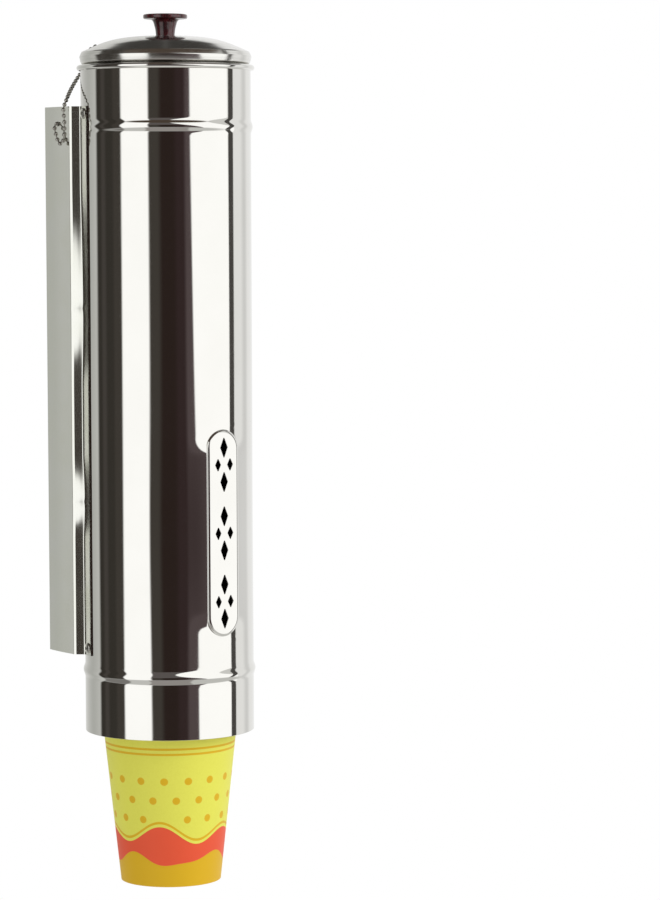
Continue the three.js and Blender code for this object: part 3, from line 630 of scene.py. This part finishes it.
def on_bracket(across, height, side):
    """Points of the bracket's outer face for side 1 or inner face for side 0, at a length across its
    section. Spot welds have drawn the fold behind the lips forwards, in a half cosine wave about a line
    beside the fold and in an arch about each weld that runs further up than down, with a nip at the weld
    itself."""
    x, y, ahead_x, ahead_y = (
        np.interp(across, section_along, column) for column in (*bracket_section.T, *section_slope.T)
    )
    inwards = bracket_sheet * (1 - side) / np.hypot(ahead_x, ahead_y)
    from_end = np.minimum(across, section_along[-1] - across)
    fold = np.abs(from_end - fold_along + weld_inset)
    drawn = 0.5 + 0.5 * np.cos(np.pi * np.clip(fold / weld_reach, 0, 1))
    pull = 0 * height
    for weld, above, below in welds:
        share = (height - weld) / np.where(height > weld, above, below)
        nip = 1 - 0.5 * np.exp(-(((height - weld) / 1.6) ** 2))
        pull = pull + weld_pull * np.clip(1 - share**2, 0, 1) ** 1.5 * nip
    return np.stack([x - ahead_y * inwards, y + ahead_x * inwards - drawn * pull, height + 0 * x], -1)


def keyhole_edge(centre, head_height, direction):
    """Gives each point the one in the same direction on a keyhole, seen from behind: along a ray from the
    head's middle, the further of the head's circle and the slot's rounded end."""

    def outline(points):
        away = points - (centre, head_height)
        angle = np.arctan2(away[:, 1] * direction, away[:, 0])
        across, along = np.abs(np.cos(angle)), np.sin(angle)
        side = keyhole_slot / np.maximum(across, 1e-6)
        ahead = keyhole_travel * along
        end = ahead + np.sqrt(np.maximum(keyhole_slot**2 - (keyhole_travel * across) ** 2, 0))
        fits = (along > 0) & (keyhole_travel * across < keyhole_slot)
        beside = (along > 0) & (side * along < keyhole_travel)
        slot_reach = np.maximum(np.where(fits, end, 0), np.where(beside, side, 0))
        reach = np.maximum(keyhole_head, slot_reach)
        spoke = np.stack([np.cos(angle), direction * np.sin(angle)], -1)
        return (centre, head_height) + reach[:, None] * spoke

    return outline


def with_lines(values, lines, room):
    """Grid lines with extra ones, where an old line closer than the room to an extra one gives way to it."""
    values, lines = np.asarray(values, float), np.asarray(lines, float)
    kept = values[np.min(np.abs(values[:, None] - lines), axis=1) > room]
    return np.unique(np.concatenate([kept, lines]))


def refinish(made, chosen):
    """Gives the second finish to the faces that are chosen by their middles in millimetres from the tube's
    axis and foot, and the first finish to the others."""
    middles = np.empty(len(made.data.polygons) * 3)
    made.data.polygons.foreach_get("center", middles)
    made.data.polygons.foreach_set("material_index", chosen(unplaced(middles)).astype(np.int32))


# Brushed stainless steel: soft upright lines from the belt, drawn at 0.5 mm so that they show
brushed_steel = varied_finish(
    "brushed stainless steel", {"Metallic": 1.0}, noise(0.0005, 3.0, upright=0.02),
    ("#D2D2CC", "#BDBDB6"), rough=(0.3, 0.45), bump=(0.15, 0.0001),
)

# Half-polished stainless steel: still a mirror, but a little softer than the tube's, with a faint olive
# tinge
satin_steel = varied_finish(
    "half-polished stainless steel", {"Metallic": 1.0}, noise(0.02, 2.0), ("#E2E2DE", "#DDDED2"),
    rough=(0.06, 0.16),
)

plate_middle = section_along[-1] / 2
right_half = np.s_[len(bracket_section) // 2 :]
chain_across = np.interp(-chain_depth, -bracket_section[right_half, 1], section_along[right_half])
bracket_holes = []
for head_height, direction in keyholes:
    ends = sorted(head_height + direction * reach for reach in keyhole_ends)
    edge = keyhole_edge(plate_middle, head_height, direction)
    bracket_holes.append((plate_middle - keyhole_room, plate_middle + keyhole_room, *ends, edge))
chain_box = [middle + side * chain_room for middle in (chain_across, chain_level) for side in (-1, 1)]
bracket_holes.append((*chain_box, stadium_edge(2 * chain_hole, 2 * chain_hole, chain_level, chain_across)))
across_lines = [line for hole in bracket_holes for line in hole[:2]]
height_lines = [line for hole in bracket_holes for line in hole[2:4]]
section_lines = np.unique(np.concatenate([section_along, np.arange(1, section_along[-1], 1.5)]).round(3))
section_lines = with_lines(section_lines, across_lines, 0.3)
bracket_heights = with_lines(np.linspace(bracket_foot, bracket_top, 154), height_lines, 0.9)
bracket_parts = sheet(section_lines, bracket_heights, on_bracket, bracket_holes)
for level, order in ((bracket_foot, (0, 1)), (bracket_top, (1, 0))):
    edge = [on_bracket(section_lines, 0 * section_lines + level, side) for side in order]
    bracket_parts.append(skin(np.stack(edge)))
for end, order in ((0, (1, 0)), (section_along[-1], (0, 1))):
    edge = [on_bracket(0 * bracket_heights + end, bracket_heights, side) for side in order]
    bracket_parts.append(skin(np.stack(edge)))
bracket = make_piece(
    "folded_bracket", bracket_parts, [satin_steel, brushed_steel], replaces=["wall_bracket"]
)
refinish(bracket, lambda middles: middles[:, 1] > plate_front)

# Rivets: blind steel rivets, four through the bracket's lips and two larger ones that hold the retainer
# ring. Each has a low domed head, a pocket where its pin broke off, and a tail swollen by the pull.
bracket_rivet = dict(head=3, rise=1, pocket=1, shank=1.6, tail=2.4, tail_length=2.6, grip=2.4)
retainer_rivet = dict(head=4.7, rise=1.5, pocket=0.9, shank=2, tail=3, tail_length=2.4, grip=3.4)
lip_middle = (45.735, 16.1)
lip_tilt = np.degrees(np.arctan2(2.09, 7.8))
retainer_height, retainer_angle = 20, 33


def rivet_profile(size):
    """Tail, shank, flat under the head, an elliptic dome up to the pocket's lip, and the broken pin
    inside."""
    head, pocket, shank, tail, grip = (size[key] for key in ("head", "pocket", "shank", "tail", "grip"))
    end, swell = -grip - size["tail_length"], -grip - size["tail_length"] / 2
    dome = arc((0, 0), 1, 8, 62, 9)
    dome = dome * ((head - pocket) / (dome[0, 0] - dome[-1, 0]), size["rise"] / dome[-1, 1])
    dome += (head - dome[0, 0], 0.3)
    pin = pocket * 0.75
    floor = size["rise"] * 0.35 + 0.3
    return np.concatenate([
        [(0, end), (shank, end), (tail, swell), (tail, -grip), (shank, -grip), (shank, 0), (head, 0)],
        dome,
        [(pocket, floor - 0.3), (pin, floor - 0.3), (pin, floor), (0, floor + 0.1)],
    ])


def aimed(part, foot, angle):
    """A turned part laid over so that its axis points along an angle in the ground plane, with its foot
    there."""
    points, quads, finish = part
    cos, sin = np.cos(np.radians(angle)), np.sin(np.radians(angle))
    x, y, z = unplaced(points).T
    laid = np.stack([foot[0] + z * cos - y * sin, foot[1] + z * sin + y * cos, foot[2] - x], -1)
    return placed(laid), quads, finish


# Rivet steel: bright, drawn from wire, with a soft sheen and darker grease in fine spots
rivet_steel = varied_finish(
    "bright rivet steel", {"Metallic": 1.0}, noise(0.0015, 3.0), ("#DCDBD5", "#A8A69E"), rough=(0.12, 0.28)
)

for level, height in (("upper", 346), ("lower", 48)):
    for side, name in ((1, "right"), (-1, "left")):
        foot = (side * lip_middle[0], lip_middle[1], height)
        angle = lip_tilt if side > 0 else 180 - lip_tilt
        make_piece(
            f"lip_rivet_{level}_{name}",
            [aimed(turned(rivet_profile(bracket_rivet), 36), foot, angle)],
            [rivet_steel],
            replaces=[f"bracket_rivet_{level}_{name}"],
        )
for side, name in ((1, "right"), (-1, "left")):
    angle = 90 - side * retainer_angle
    x, y = tube_radius * np.cos(np.radians(angle)), tube_radius * np.sin(np.radians(angle))
    make_piece(
        f"ring_rivet_{name}",
        [aimed(turned(rivet_profile(retainer_rivet), 48), (x, y, retainer_height), angle)],
        [rivet_steel],
        replaces=[f"retainer_rivet_{name}"],
    )

# Pads: two pieces of dark closed-cell foam tape, cut by hand and stuck on the plate. Each still has its
# white paper liner over the glue, and the upper one's lower corner has begun to lift.
pad_width, pad_height, pad_corner = 55, 25, 0.8
pad_front, pad_back = 53.0, 56.75
liner_back = 57.0
pad_levels = {"upper": 279.5, "lower": 106}
liner_sheet, liner_lift, lift_reach = 0.2, 1.4, 14


def pad_loops(level, insets):
    """Outlines of a rounded rectangle about a height, one for each inset."""
    wide, high = pad_width / 2 - pad_corner, pad_height / 2 - pad_corner
    corners = [(wide, level - high), (wide, level + high), (-wide, level + high), (-wide, level - high)]
    return [ring(corners, pad_corner - inset, turns=5, sides=24) for inset in insets]


def slab(low, high):
    """Two matching grids of points as the faces of a thin plate, with the strips round their edges."""
    parts = [skin(high), skin(low, flip=True)]
    for rim in (np.s_[0, :], np.s_[:, -1], np.s_[-1, ::-1], np.s_[::-1, 0]):
        parts.append(skin(np.stack([low[rim], high[rim]])))
    return parts


def foam_cells(tree, place):
    """The distance to the middle of the nearest cell."""
    return add_node(tree, "TexVoronoi", {"Vector": place, "Scale": 1 / 0.0005}).outputs["Distance"]


# Closed-cell foam: charcoal grey, cut across its cells, which show as pits of about 0.5 mm
dark_foam = varied_finish(
    "closed-cell foam", {"Roughness": 0.9, "Specular IOR Level": 0.3}, foam_cells, ("#4A4B46", "#72736C"),
    bump=(0.5, 0.0002),
)

# Silicone liner paper: smooth white with a faint sheen and the shadow of its fibres
liner_paper = varied_finish(
    "siliconed liner paper", {"Specular IOR Level": 0.4}, noise(0.0015, 5.0), ("#F4F4EF", "#E9E9E3"),
    rough=(0.45, 0.65),
)

for level, height in pad_levels.items():
    rows = [(0.5, pad_front), (0.1, pad_front + 0.1), (0, pad_front + 0.4)]
    rows += [(0.15, (pad_front + pad_back) / 2), (0, pad_back - 0.4), (0.1, pad_back - 0.1), (0.5, pad_back)]
    loops = pad_loops(height, [inset for inset, _ in rows])
    wander = 0.25 * np.sin(loops[0][:, 0] * 0.35 + height) * np.sin(loops[0][:, 1] * 0.5)
    points = []
    for loop, (_, depth) in zip(loops, rows):
        uneven = loop + wander[:, None] * (loop - loop.mean(axis=0)) / (pad_width / 2)
        points.append(np.stack([uneven[:, 0], np.full(len(loop), depth), uneven[:, 1]], -1))
    points = np.stack(points)
    front, back = points[0][:, [0, 2]], points[-1][:, [0, 2]]
    parts = [skin(points[::-1], around=True), filled(front, [], facing_front(pad_front))]
    parts.append(filled(back, [], facing_front(pad_back), flip=True))
    pad = make_piece(f"foam_block_{level}", parts, [dark_foam], replaces=[f"foam_pad_{level}"])
    wide, high = pad_width / 2, pad_height / 2
    across, up = np.meshgrid(np.linspace(-wide, wide, 45), np.linspace(-high, high, 25))
    corner = np.hypot(across - wide, up + high)
    lift = liner_lift * (1 - step(corner, 0, lift_reach)) ** 2 if level == "upper" else 0 * corner
    depths = (liner_back, liner_back - liner_sheet)
    faces = [np.stack([across, depth + lift, height + up], -1) for depth in depths]
    make_piece(f"liner_{level}", slab(*faces), [liner_paper], replaces=[f"pad_liner_{level}"])

# Retainer: a moulded plastic ring held in the tube's foot by the two large rivets, with a slit flap snapped
# into it. On the real dispenser the flap's teeth bend out of the way as the lowest cup's rolled rim is pulled
# past them; here they are made stiff and flat.
ring_inner, ring_outer = 44.4, 46.4
ring_foot, ring_top = 3, 28
flap_foot, flap_top, flap_inner = 1.2, 2.7, 38.1
collar_inner, collar_outer, collar_top = 42.7, 44.1, 9.7
teeth_count, slit_half, slit_end = 12, 0.6, 42.1


def flap_teeth():
    """The teeth as thin plates on a grid of angle and radius; each slit keeps an even width, so a tooth's
    side turns by the arc sine of half the slit over the radius."""
    radius = np.linspace(flap_inner, slit_end + 0.2, 5)[None, :, None]
    share = np.linspace(1, -1, 17)[None, None, :]
    middle = (2 * np.pi * np.arange(teeth_count) / teeth_count)[:, None, None]
    angle = middle + share * (np.pi / teeth_count - np.arcsin(slit_half / radius))
    low, high = (about_axis(radius, angle, level) for level in (flap_foot, flap_top))
    return [part for tooth in zip(low, high) for part in slab(*tooth)]


# Moulded polypropylene: milky white and slightly waxy, with a faint haze
milky_plastic = varied_finish(
    "moulded polypropylene", {"Roughness": 0.45, "Subsurface Weight": 0.1}, noise(0.01, 3.0),
    ("#E8E8E2", "#D9D9D1"), bump=(0.1, 0.0002),
)

ring_profile = [(ring_inner, ring_foot), (ring_outer, ring_foot), (ring_outer, ring_top)]
ring_profile += [(ring_inner, ring_top), (ring_inner, ring_foot)]
band = turned(ring_profile)
make_piece("retainer_band", [band], [milky_plastic], replaces=["retainer_ring"])
flap_profile = [
    (slit_end, flap_foot),
    (ring_outer, flap_foot),
    (ring_outer, flap_top),
    (collar_outer, flap_top),
    (collar_outer, collar_top),
    (collar_inner, collar_top),
    (collar_inner, flap_top),
    (slit_end, flap_top),
    (slit_end, flap_foot),
]
flap = [turned(flap_profile), *flap_teeth()]
make_piece("slit_flap", flap, [milky_plastic], replaces=["retainer_teeth"])

# Cups: six paper cups nested in the tube, each a cone of printed board with a lapped side seam and a rolled
# rim, and a base disc set up inside its foot. The lowest hangs out of the tube by its rim.
cup_height, cup_mouth, cup_foot, cup_paper, cup_roll = 91, 38.1, 28.2, 0.5, 1.2
cup_taper = (cup_mouth - cup_foot) / cup_height
base_recess = 6.5
lowest_foot, cup_pitch, cup_count = -85.6, 7.3, 6
seam_lap, seam_width, seam_place = 0.2, 0.18, 2.4


def cup_wall(foot):
    """Outside up the cone, three quarters round the roll, and down the inside; the outside stands off by the
    lap's thickness on one side of the seam and eases back round the cup."""
    outside_top = (cup_mouth - cup_taper * 2 * cup_roll, cup_height - 2 * cup_roll)
    share = np.linspace(0, 1, 24)[:, None]
    outside = np.array((cup_foot, 0)) + share * np.subtract(outside_top, (cup_foot, 0))
    roll = arc((cup_mouth - cup_paper + cup_roll, cup_height - cup_roll), cup_roll, -90, 180, 20)
    inside = np.array((cup_mouth - cup_paper, cup_height - cup_roll))
    inside = inside + share * ((cup_foot - cup_paper, 0) - inside)
    profile = np.concatenate([outside, roll, inside[1:], outside[:1]])
    radius, height = profile.T[:, :, None]
    angle = np.linspace(-np.pi, np.pi, 145)[None, :]
    from_seam, lap_edge = np.abs((angle - seam_place) * cup_foot), seam_width * cup_foot
    lap = seam_lap * step(from_seam, lap_edge + 0.6, lap_edge)
    outer_rows = (np.arange(len(profile)) < len(outside))[:, None]
    return skin(about_axis(radius + lap * outer_rows, angle, foot + height))


def cup_base(foot):
    """A disc with its edge turned down to the foot inside the wall."""
    top = base_recess + cup_paper
    low = cup_foot - cup_paper - 0.05
    high = low + cup_taper * top
    corners = [(0, base_recess), (high - cup_paper, base_recess), (low - cup_paper, 0)]
    corners += [(low, 0), (high, top), (0, top)]
    return turned(rounded(corners, [0.6, 0.1, 0.1, 0.8], 6) + (0, foot))


def inside_cup(middles, foot):
    """Tells which middles lie within the middle of the board or on the roll, where the board is plain."""
    height = middles[:, 2] - foot
    limit = cup_foot + cup_taper * height - cup_paper / 2
    return (np.hypot(middles[:, 0], middles[:, 1]) < limit) | (height > cup_height - 2 * cup_roll)


def maths(operation, *values):
    """One arithmetic step on sockets or numbers in the tree that is being built."""
    return add_node(tree, "Math", dict(enumerate(values)), operation=operation).outputs[0]


def hill_top(hills, direction):
    """The hills' height in a direction round the cup: two sine waves about a middle height."""
    top = hills["middle"]
    for count, sway, height in hills["waves"]:
        top = maths("MULTIPLY_ADD", maths("SINE", maths("MULTIPLY_ADD", direction, count, sway)), height, top)
    return top


# Printed cup board: a yellow ground with rounded hills in orange red and lower ones in amber, an amber line
# and dots above them and two thin amber stripes under the rim. The attribute is a place on its own cup in
# mm.
red_hills = {"middle": 29, "waves": [(5, 0.4, 3.6), (3, 1.9, 2.0)]}
amber_hills = {"middle": 15, "waves": [(4, 2.2, 3.2), (7, 0.9, 1.2)]}
line_rise, line_half = 2.4, 0.7
stripe_levels, stripe_half = (76, 79), 0.6
dot_columns, dot_pitch, dot_radius, dot_room, highest_dot = 16, 11, 2.1, 7, 66
cone_radius = cup_foot + 5
printed_board, tree, shader = new_finish("printed cup board", {"Roughness": 0.5, "Specular IOR Level": 0.35})
on_cup = add_node(tree, "Attribute", attribute_name="on_cup").outputs["Vector"]
x, y, rise = add_node(tree, "SeparateXYZ", {0: on_cup}).outputs
angle = maths("ARCTAN2", x, y)
above_red = maths("SUBTRACT", rise, hill_top(red_hills, angle))
above_amber = maths("SUBTRACT", rise, hill_top(amber_hills, angle))
row_number = maths("FLOOR", maths("DIVIDE", rise, dot_pitch))
shift = maths("MULTIPLY", maths("MODULO", row_number, 2), 0.5)
column = maths("ADD", maths("MULTIPLY", angle, dot_columns / (2 * np.pi)), shift)
dot_level = maths("MULTIPLY", maths("ADD", row_number, 0.5), dot_pitch)
dot_column = maths("SUBTRACT", maths("ADD", maths("FLOOR", column), 0.5), shift)
dot_angle = maths("MULTIPLY", dot_column, 2 * np.pi / dot_columns)
across = maths("MULTIPLY", maths("SUBTRACT", angle, dot_angle), cone_radius)
upwards = maths("SUBTRACT", rise, dot_level)
far = maths("SQRT", maths("ADD", maths("POWER", across, 2), maths("POWER", upwards, 2)))
room = maths("SUBTRACT", dot_level, hill_top(red_hills, dot_angle))
free = maths("MULTIPLY", maths("GREATER_THAN", room, dot_room), maths("LESS_THAN", dot_level, highest_dot))
dots = maths("MULTIPLY", maths("LESS_THAN", far, dot_radius), free)
stripes = maths("MAXIMUM", *(maths("COMPARE", rise, level, stripe_half) for level in stripe_levels))
drawn = maths("MAXIMUM", maths("MAXIMUM", dots, stripes), maths("COMPARE", above_red, line_rise, line_half))
amber = maths("MAXIMUM", drawn, maths("LESS_THAN", above_amber, 0))
red = maths("MULTIPLY", maths("LESS_THAN", above_red, 0), maths("GREATER_THAN", above_amber, 0))
fleck = noise(0.0012, 2.0)(tree, add_node(tree, "TexCoord").outputs["Object"])
ground = mixed(tree, fleck, linear("#ECEA5E"), linear("#E6E355"))
with_amber = mixed(tree, amber, ground, linear("#E2B413"))
with_red = mixed(tree, red, with_amber, linear("#EE5836"))
tree.links.new(with_red, shader.inputs["Base Color"])

# Plain cup board: warm white, uncoated, with faint fibres
plain_board = varied_finish(
    "plain cup board", {"Roughness": 0.75, "Specular IOR Level": 0.3}, noise(0.001, 4.0),
    ("#F4F1E8", "#E8E4D8"), bump=(0.2, 0.00005),
)

for i in range(cup_count):
    foot = lowest_foot + i * cup_pitch
    body = "lowest_cup" if i == 0 else "stack"
    node = f"cup_{i + 1}"
    boards = [printed_board, plain_board]
    wall = make_piece(f"{node}_paper", [cup_wall(foot)], boards, body, [f"{node}_wall"])
    points = np.empty(len(wall.data.vertices) * 3)
    wall.data.vertices.foreach_get("co", points)
    attribute = wall.data.attributes.new("on_cup", "FLOAT_VECTOR", "POINT")
    attribute.data.foreach_set("vector", (unplaced(points) - (0, 0, foot)).ravel())
    refinish(wall, lambda middles: inside_cup(middles, foot))
    make_piece(f"{node}_disc", [cup_base(foot)], [plain_board], body, [f"{node}_base"])

# Lid: one pressing of polished sheet, with a full dome, a sloping shoulder, a rounded band that stands on
# the curl, and a skirt that drops inside the tube's mouth.
lid_foot = tube_length + 0.1
lid_sheet = 0.8
dome_radius, dome_height, shoulder_height, dome_fullness = 40.5, 16, 10, 3.2
lid_band = [(46.9, 7.2), (48.0, 4.5), (47.0, 0.0), (46.1, 0.0), (46.1, -7.0)]
band_bends = [1.2, 1.1, 2.2, 0.4, 0.3]
under_bends = [0.6, 0.6, 1.6, 0.1, 0.9]
dome_start = 2.3


def beside(corners, thickness):
    """The line that lies a thickness to the left of a line, with mitred corners."""
    corners = np.asarray(corners, float)
    runs = np.diff(corners, axis=0)
    runs /= np.linalg.norm(runs, axis=1)[:, None]
    before, after = np.vstack([runs[:1], runs]), np.vstack([runs, runs[-1:]])
    mean = before + after
    mean /= np.linalg.norm(mean, axis=1)[:, None]
    reach = thickness / np.sum(mean * before, axis=1)
    return corners + np.stack([-mean[:, 1], mean[:, 0]], -1) * reach[:, None]


def lid_profile():
    """The skirt, band and shoulder with rounded corners, then the dome, whose height drops with a power of
    the radius; and back along the underside."""
    radius = np.linspace(dome_radius, dome_start, 40)
    drop = (dome_height - shoulder_height) * (radius / dome_radius) ** dome_fullness
    dome = np.stack([radius, dome_height - drop], -1)
    outer = np.concatenate([lid_band[::-1], dome])
    inner = beside(outer, lid_sheet)
    top = rounded(outer[:7], band_bends[::-1][1:] + band_bends[:1])
    below = rounded(inner[:7], under_bends[::-1][1:] + under_bends[:1])
    return np.concatenate([top, outer[7:], inner[:6:-1], below[::-1], top[:1]]) + (0, lid_foot)


def from_axis(tree, place):
    """The distance of a place from the tube's axis."""
    flat = {"Vector": place, "Location": (-tube_axis.x, -tube_axis.y, 0.0), "Scale": (1.0, 1.0, 0.0)}
    flat = add_node(tree, "Mapping", flat).outputs[0]
    return add_node(tree, "VectorMath", {0: flat}, operation="LENGTH").outputs["Value"]


def polishing_lines(tree, place):
    """Fine noise in the distance from the axis alone."""
    lines = {"W": from_axis(tree, place), "Scale": 1 / 0.0006, "Detail": 2.0}
    return add_node(tree, "TexNoise", lines, noise_dimensions="1D").outputs[0]


# Spun and polished steel: bright, but softer than the tube, since the polishing lines run round the axis
spun_steel = varied_finish(
    "spun polished steel", {"Metallic": 1.0}, polishing_lines, ("#E4E3DF", "#D8D7D2"), rough=(0.11, 0.2)
)

pressing = turned(lid_profile(), 240)
make_piece("pressed_lid", [pressing], [spun_steel], "lid", ["lid_shell"])

# Knob: turned from dark maroon bakelite, a stem that widens up to a thin disc, screwed on from below through
# a steel washer.
knob_foot = 389.4
knob_line = [(5.2, 0), (5.3, 1.1), (5.57, 3.4), (6.1, 5.6), (6.7, 7.6), (7.6, 8.7), (9.0, 9.1), (10.6, 9.15)]
disc_radius, disc_top, disc_thickness, disc_edge = 12.3, 11.8, 2.5, 0.8
screw_hole, screw_depth = 2.3, 9.2

# Bakelite: dark maroon with a soft polish, and slightly redder upright streaks that are painted reflections
# of the studio in its gloss
bakelite = varied_finish(
    "maroon bakelite", {"Roughness": 0.22, "IOR": 1.6, "Coat Weight": 0.3},
    noise(0.002, 2.0, upright=0.12, span=(0.35, 0.7)), ("#2C1014", "#581A20"), bump=(0.05, 0.0001),
)

stem = spline(knob_line, 6)
lower_edge = arc((disc_radius - disc_edge, disc_top - disc_thickness + disc_edge), disc_edge, -80, 0, 8)
upper_edge = arc((disc_radius - disc_edge, disc_top - disc_edge), disc_edge, 0, 90, 8)
crown = [(8, disc_top), (4, disc_top), (0, disc_top)]
well = [(0, screw_depth), (screw_hole, screw_depth), (screw_hole, 0)]
knob_profile = np.concatenate([well, stem, lower_edge, upper_edge, crown]) + (0, knob_foot)
make_piece("turned_knob", [turned(knob_profile)], [bakelite], "lid", ["lid_knob"])

washer_corners = [(2.3, 387.4), (5.5, 387.4), (5.5, 388.2), (2.3, 388.2), (2.3, 387.4)]
washer = turned(rounded(washer_corners, [0.2, 0.2, 0.1], 4), 48)
make_piece("steel_washer", [washer], [rivet_steel], "lid", ["knob_washer"])
screw = bpy.data.objects["knob_screw"]
for holder in screw.material_slots:
    holder.material = rivet_steel

# Chain ends: a stop under the lid's shoulder and a clasp behind the bracket's wall, both turned from the
# same nickelled brass as the chain, which they keep from pulling through.
stop_place, stop_foot, stop_size = (-15.85, 39.22), 375.83, (1.8, 4.5)
clasp_place, clasp_size = (-46.3, 36.8, 340.5), (1.9, 5.0)


def barrel(radius, length):
    """A short cylinder with both ends rounded by half its radius."""
    corners = [(0, 0), (radius, 0), (radius, length), (0, length)]
    return rounded(corners, [radius / 2, radius / 2], 8)


points, quads, finish = turned(barrel(*stop_size), 36)
stop_end = (points + np.array((*stop_place, stop_foot)) / 1000, quads, finish)
stop = make_piece("chain_end_stop", [stop_end], [nickel_plate], "lid", ["chain_stop"])
clasp_end = aimed(turned(barrel(*clasp_size), 36), clasp_place, 0)
clasp = make_piece("chain_end_clasp", [clasp_end], [nickel_plate], replaces=["chain_clasp"])

# Floor: a pale disc under the dispenser that fades to the white background and takes its shadow
floor_level, floor_radius, floor_fade = -0.42, 0.55, (0.3, 0.52)
turn = np.linspace(0, 2 * np.pi, 65)
reach = floor_radius * np.array((0, 0.5, 1))[:, None]
disc = np.stack(np.broadcast_arrays(reach * np.cos(turn), reach * np.sin(turn), floor_level), -1)
disc = (disc + (tube_axis.x, tube_axis.y, 0)).reshape(-1, 3)
floor_mesh = bpy.data.meshes.new("pale_floor")
floor_mesh.from_pydata(disc.tolist(), [], grid_quads(3, 65)[:, ::-1].tolist())
floor = bpy.data.objects.new("pale_floor", floor_mesh)
bpy.context.collection.objects.link(floor)
constants = {"Roughness": 0.9, "Base Color": linear("#E9E9E7")}
floor_paper, tree, shader = new_finish("pale paper floor", constants)
far = from_axis(tree, add_node(tree, "TexCoord").outputs["Object"])
fade = add_node(tree, "MapRange", {"Value": far, "From Min": floor_fade[0], "From Max": floor_fade[1]})
white = add_node(tree, "Emission", {"Color": (1.0, 1.0, 1.0, 1.0), "Strength": 1.0})
blend = add_node(tree, "MixShader", {0: fade.outputs[0], 1: shader.outputs[0], 2: white.outputs[0]})
tree.links.new(blend.outputs[0], tree.nodes["Material Output"].inputs["Surface"])
floor_mesh.materials.append(floor_paper)
floor.visible_glossy = False

# Studio: white to the camera, an even level on matt surfaces, and white and dark cards in polished metal. A
# card has its edges in degrees round the camera's direction and above the ground, the blur of its edges, the
# lean of its side edges for each degree of height, and its colour as seen.
camera_bearing = 230.9
steel_reflectance = 0.77
diffuse_level = 0.72
studio_cards = [
    (-150, -109, -90, 90, 25, 0, "#A6A7A4"),
    (103, 181, -90, 90, 1, 0, "#DEDEDE"),
    (124, 137, -90, 90, 6, 0, "#C9C9C9"),
    (-109, -63.5, -90, 90, 3, 0, "#322F2B"),
    (-99, -91, -90, 90, 3, 0, "#403C39"),
    (-77, -65, -90, 90, 3, 0, "#3C3834"),
    (-63.5, -24, -90, 40, 2, 0, "#FDFDFD"),
    (-24, 60, -90, 90, 2, 0, "#3C3834"),
    (-9, 60, -90, 90, 4, 0, "#281F1C"),
    (12, 60, -90, 90, 4, 0, "#302525"),
    (25, 60, -90, 90, 3, 0, "#4E4445"),
    (-24, 33, 9, 36, 2, 0, "#565150"),
    (33.5, 93, -90, 36, 1.5, 0.77, "#FEFEFE"),
    (93.2, 102.6, -90, 60, 0.8, 0, "#444240"),
    (-66, 93, 35.5, 90, 2, 0, "#463C34"),
    (112, 181, 31, 90, 2, 0, "#363432"),
    (-181, -112, 31, 90, 2, 0, "#363432"),
    (-181, 181, -90, -27, 4, 0, "#BCBCBA"),
    (-30, 34, -90, -28, 3, 0, "#8C8886"),
    (-109, -64, -90, -28, 3, 0, "#747270"),
    (-181, 181, -90, -62, 8, 0, "#DADAD8"),
]
world = bpy.data.worlds.new("studio")
bpy.context.scene.world = world
world.use_nodes = True
tree = world.node_tree
tree.nodes.clear()
x, y, z = add_node(tree, "SeparateXYZ", {0: add_node(tree, "TexCoord").outputs["Generated"]}).outputs
from_camera = maths("SUBTRACT", maths("DEGREES", maths("ARCTAN2", y, x)), camera_bearing)
bearing = maths("WRAP", from_camera, 180, -180)
elevation = maths("DEGREES", maths("ARCSINE", z))
seen = linear("#C8C8C6")
for left, right, low, high, blur, lean, colour in studio_cards:
    side = maths("MULTIPLY_ADD", elevation, lean, bearing)
    mask = None
    for value, edge, sign in ((side, left, 1), (side, right, -1), (elevation, low, 1), (elevation, high, -1)):
        span = {"Value": value, "From Min": edge - sign * blur, "From Max": edge + sign * blur}
        share = add_node(tree, "MapRange", span, interpolation_type="SMOOTHSTEP").outputs[0]
        mask = maths("MULTIPLY", mask, share) if mask else share
    seen = mixed(tree, mask, seen, linear(colour))
boost = (1 / steel_reflectance,) * 3
bright = add_node(tree, "VectorMath", {0: seen, 1: boost}, operation="MULTIPLY").outputs[0]
rays = add_node(tree, "LightPath").outputs
sharp = maths("MAXIMUM", rays["Is Glossy Ray"], rays["Is Transmission Ray"])
even = mixed(tree, rays["Is Camera Ray"], (diffuse_level,) * 3 + (1.0,), (1.0,) * 4)
light = mixed(tree, sharp, even, bright)
background = add_node(tree, "Background", {"Color": light, "Strength": 1.0})
add_node(tree, "OutputWorld", {"Surface": background.outputs[0]})

# Lamp: one large soft box to the right of the camera, which the polished metal doesn't show again
lamp_data = bpy.data.lights.new("soft_box", "AREA")
lamp_data.shape = "SQUARE"
lamp_data.size = 1.2
lamp_data.energy = 24
lamp = bpy.data.objects.new("soft_box", lamp_data)
lamp_place, lamp_target = Vector((0.9, -2.2, 1.0)), Vector((0.0, -0.05, -0.1))
lamp_turn = (lamp_target - lamp_place).to_track_quat("-Z", "Y").to_matrix().to_4x4()
lamp.matrix_world = Matrix.Translation(lamp_place) @ lamp_turn
lamp.visible_glossy = False
bpy.context.collection.objects.link(lamp)
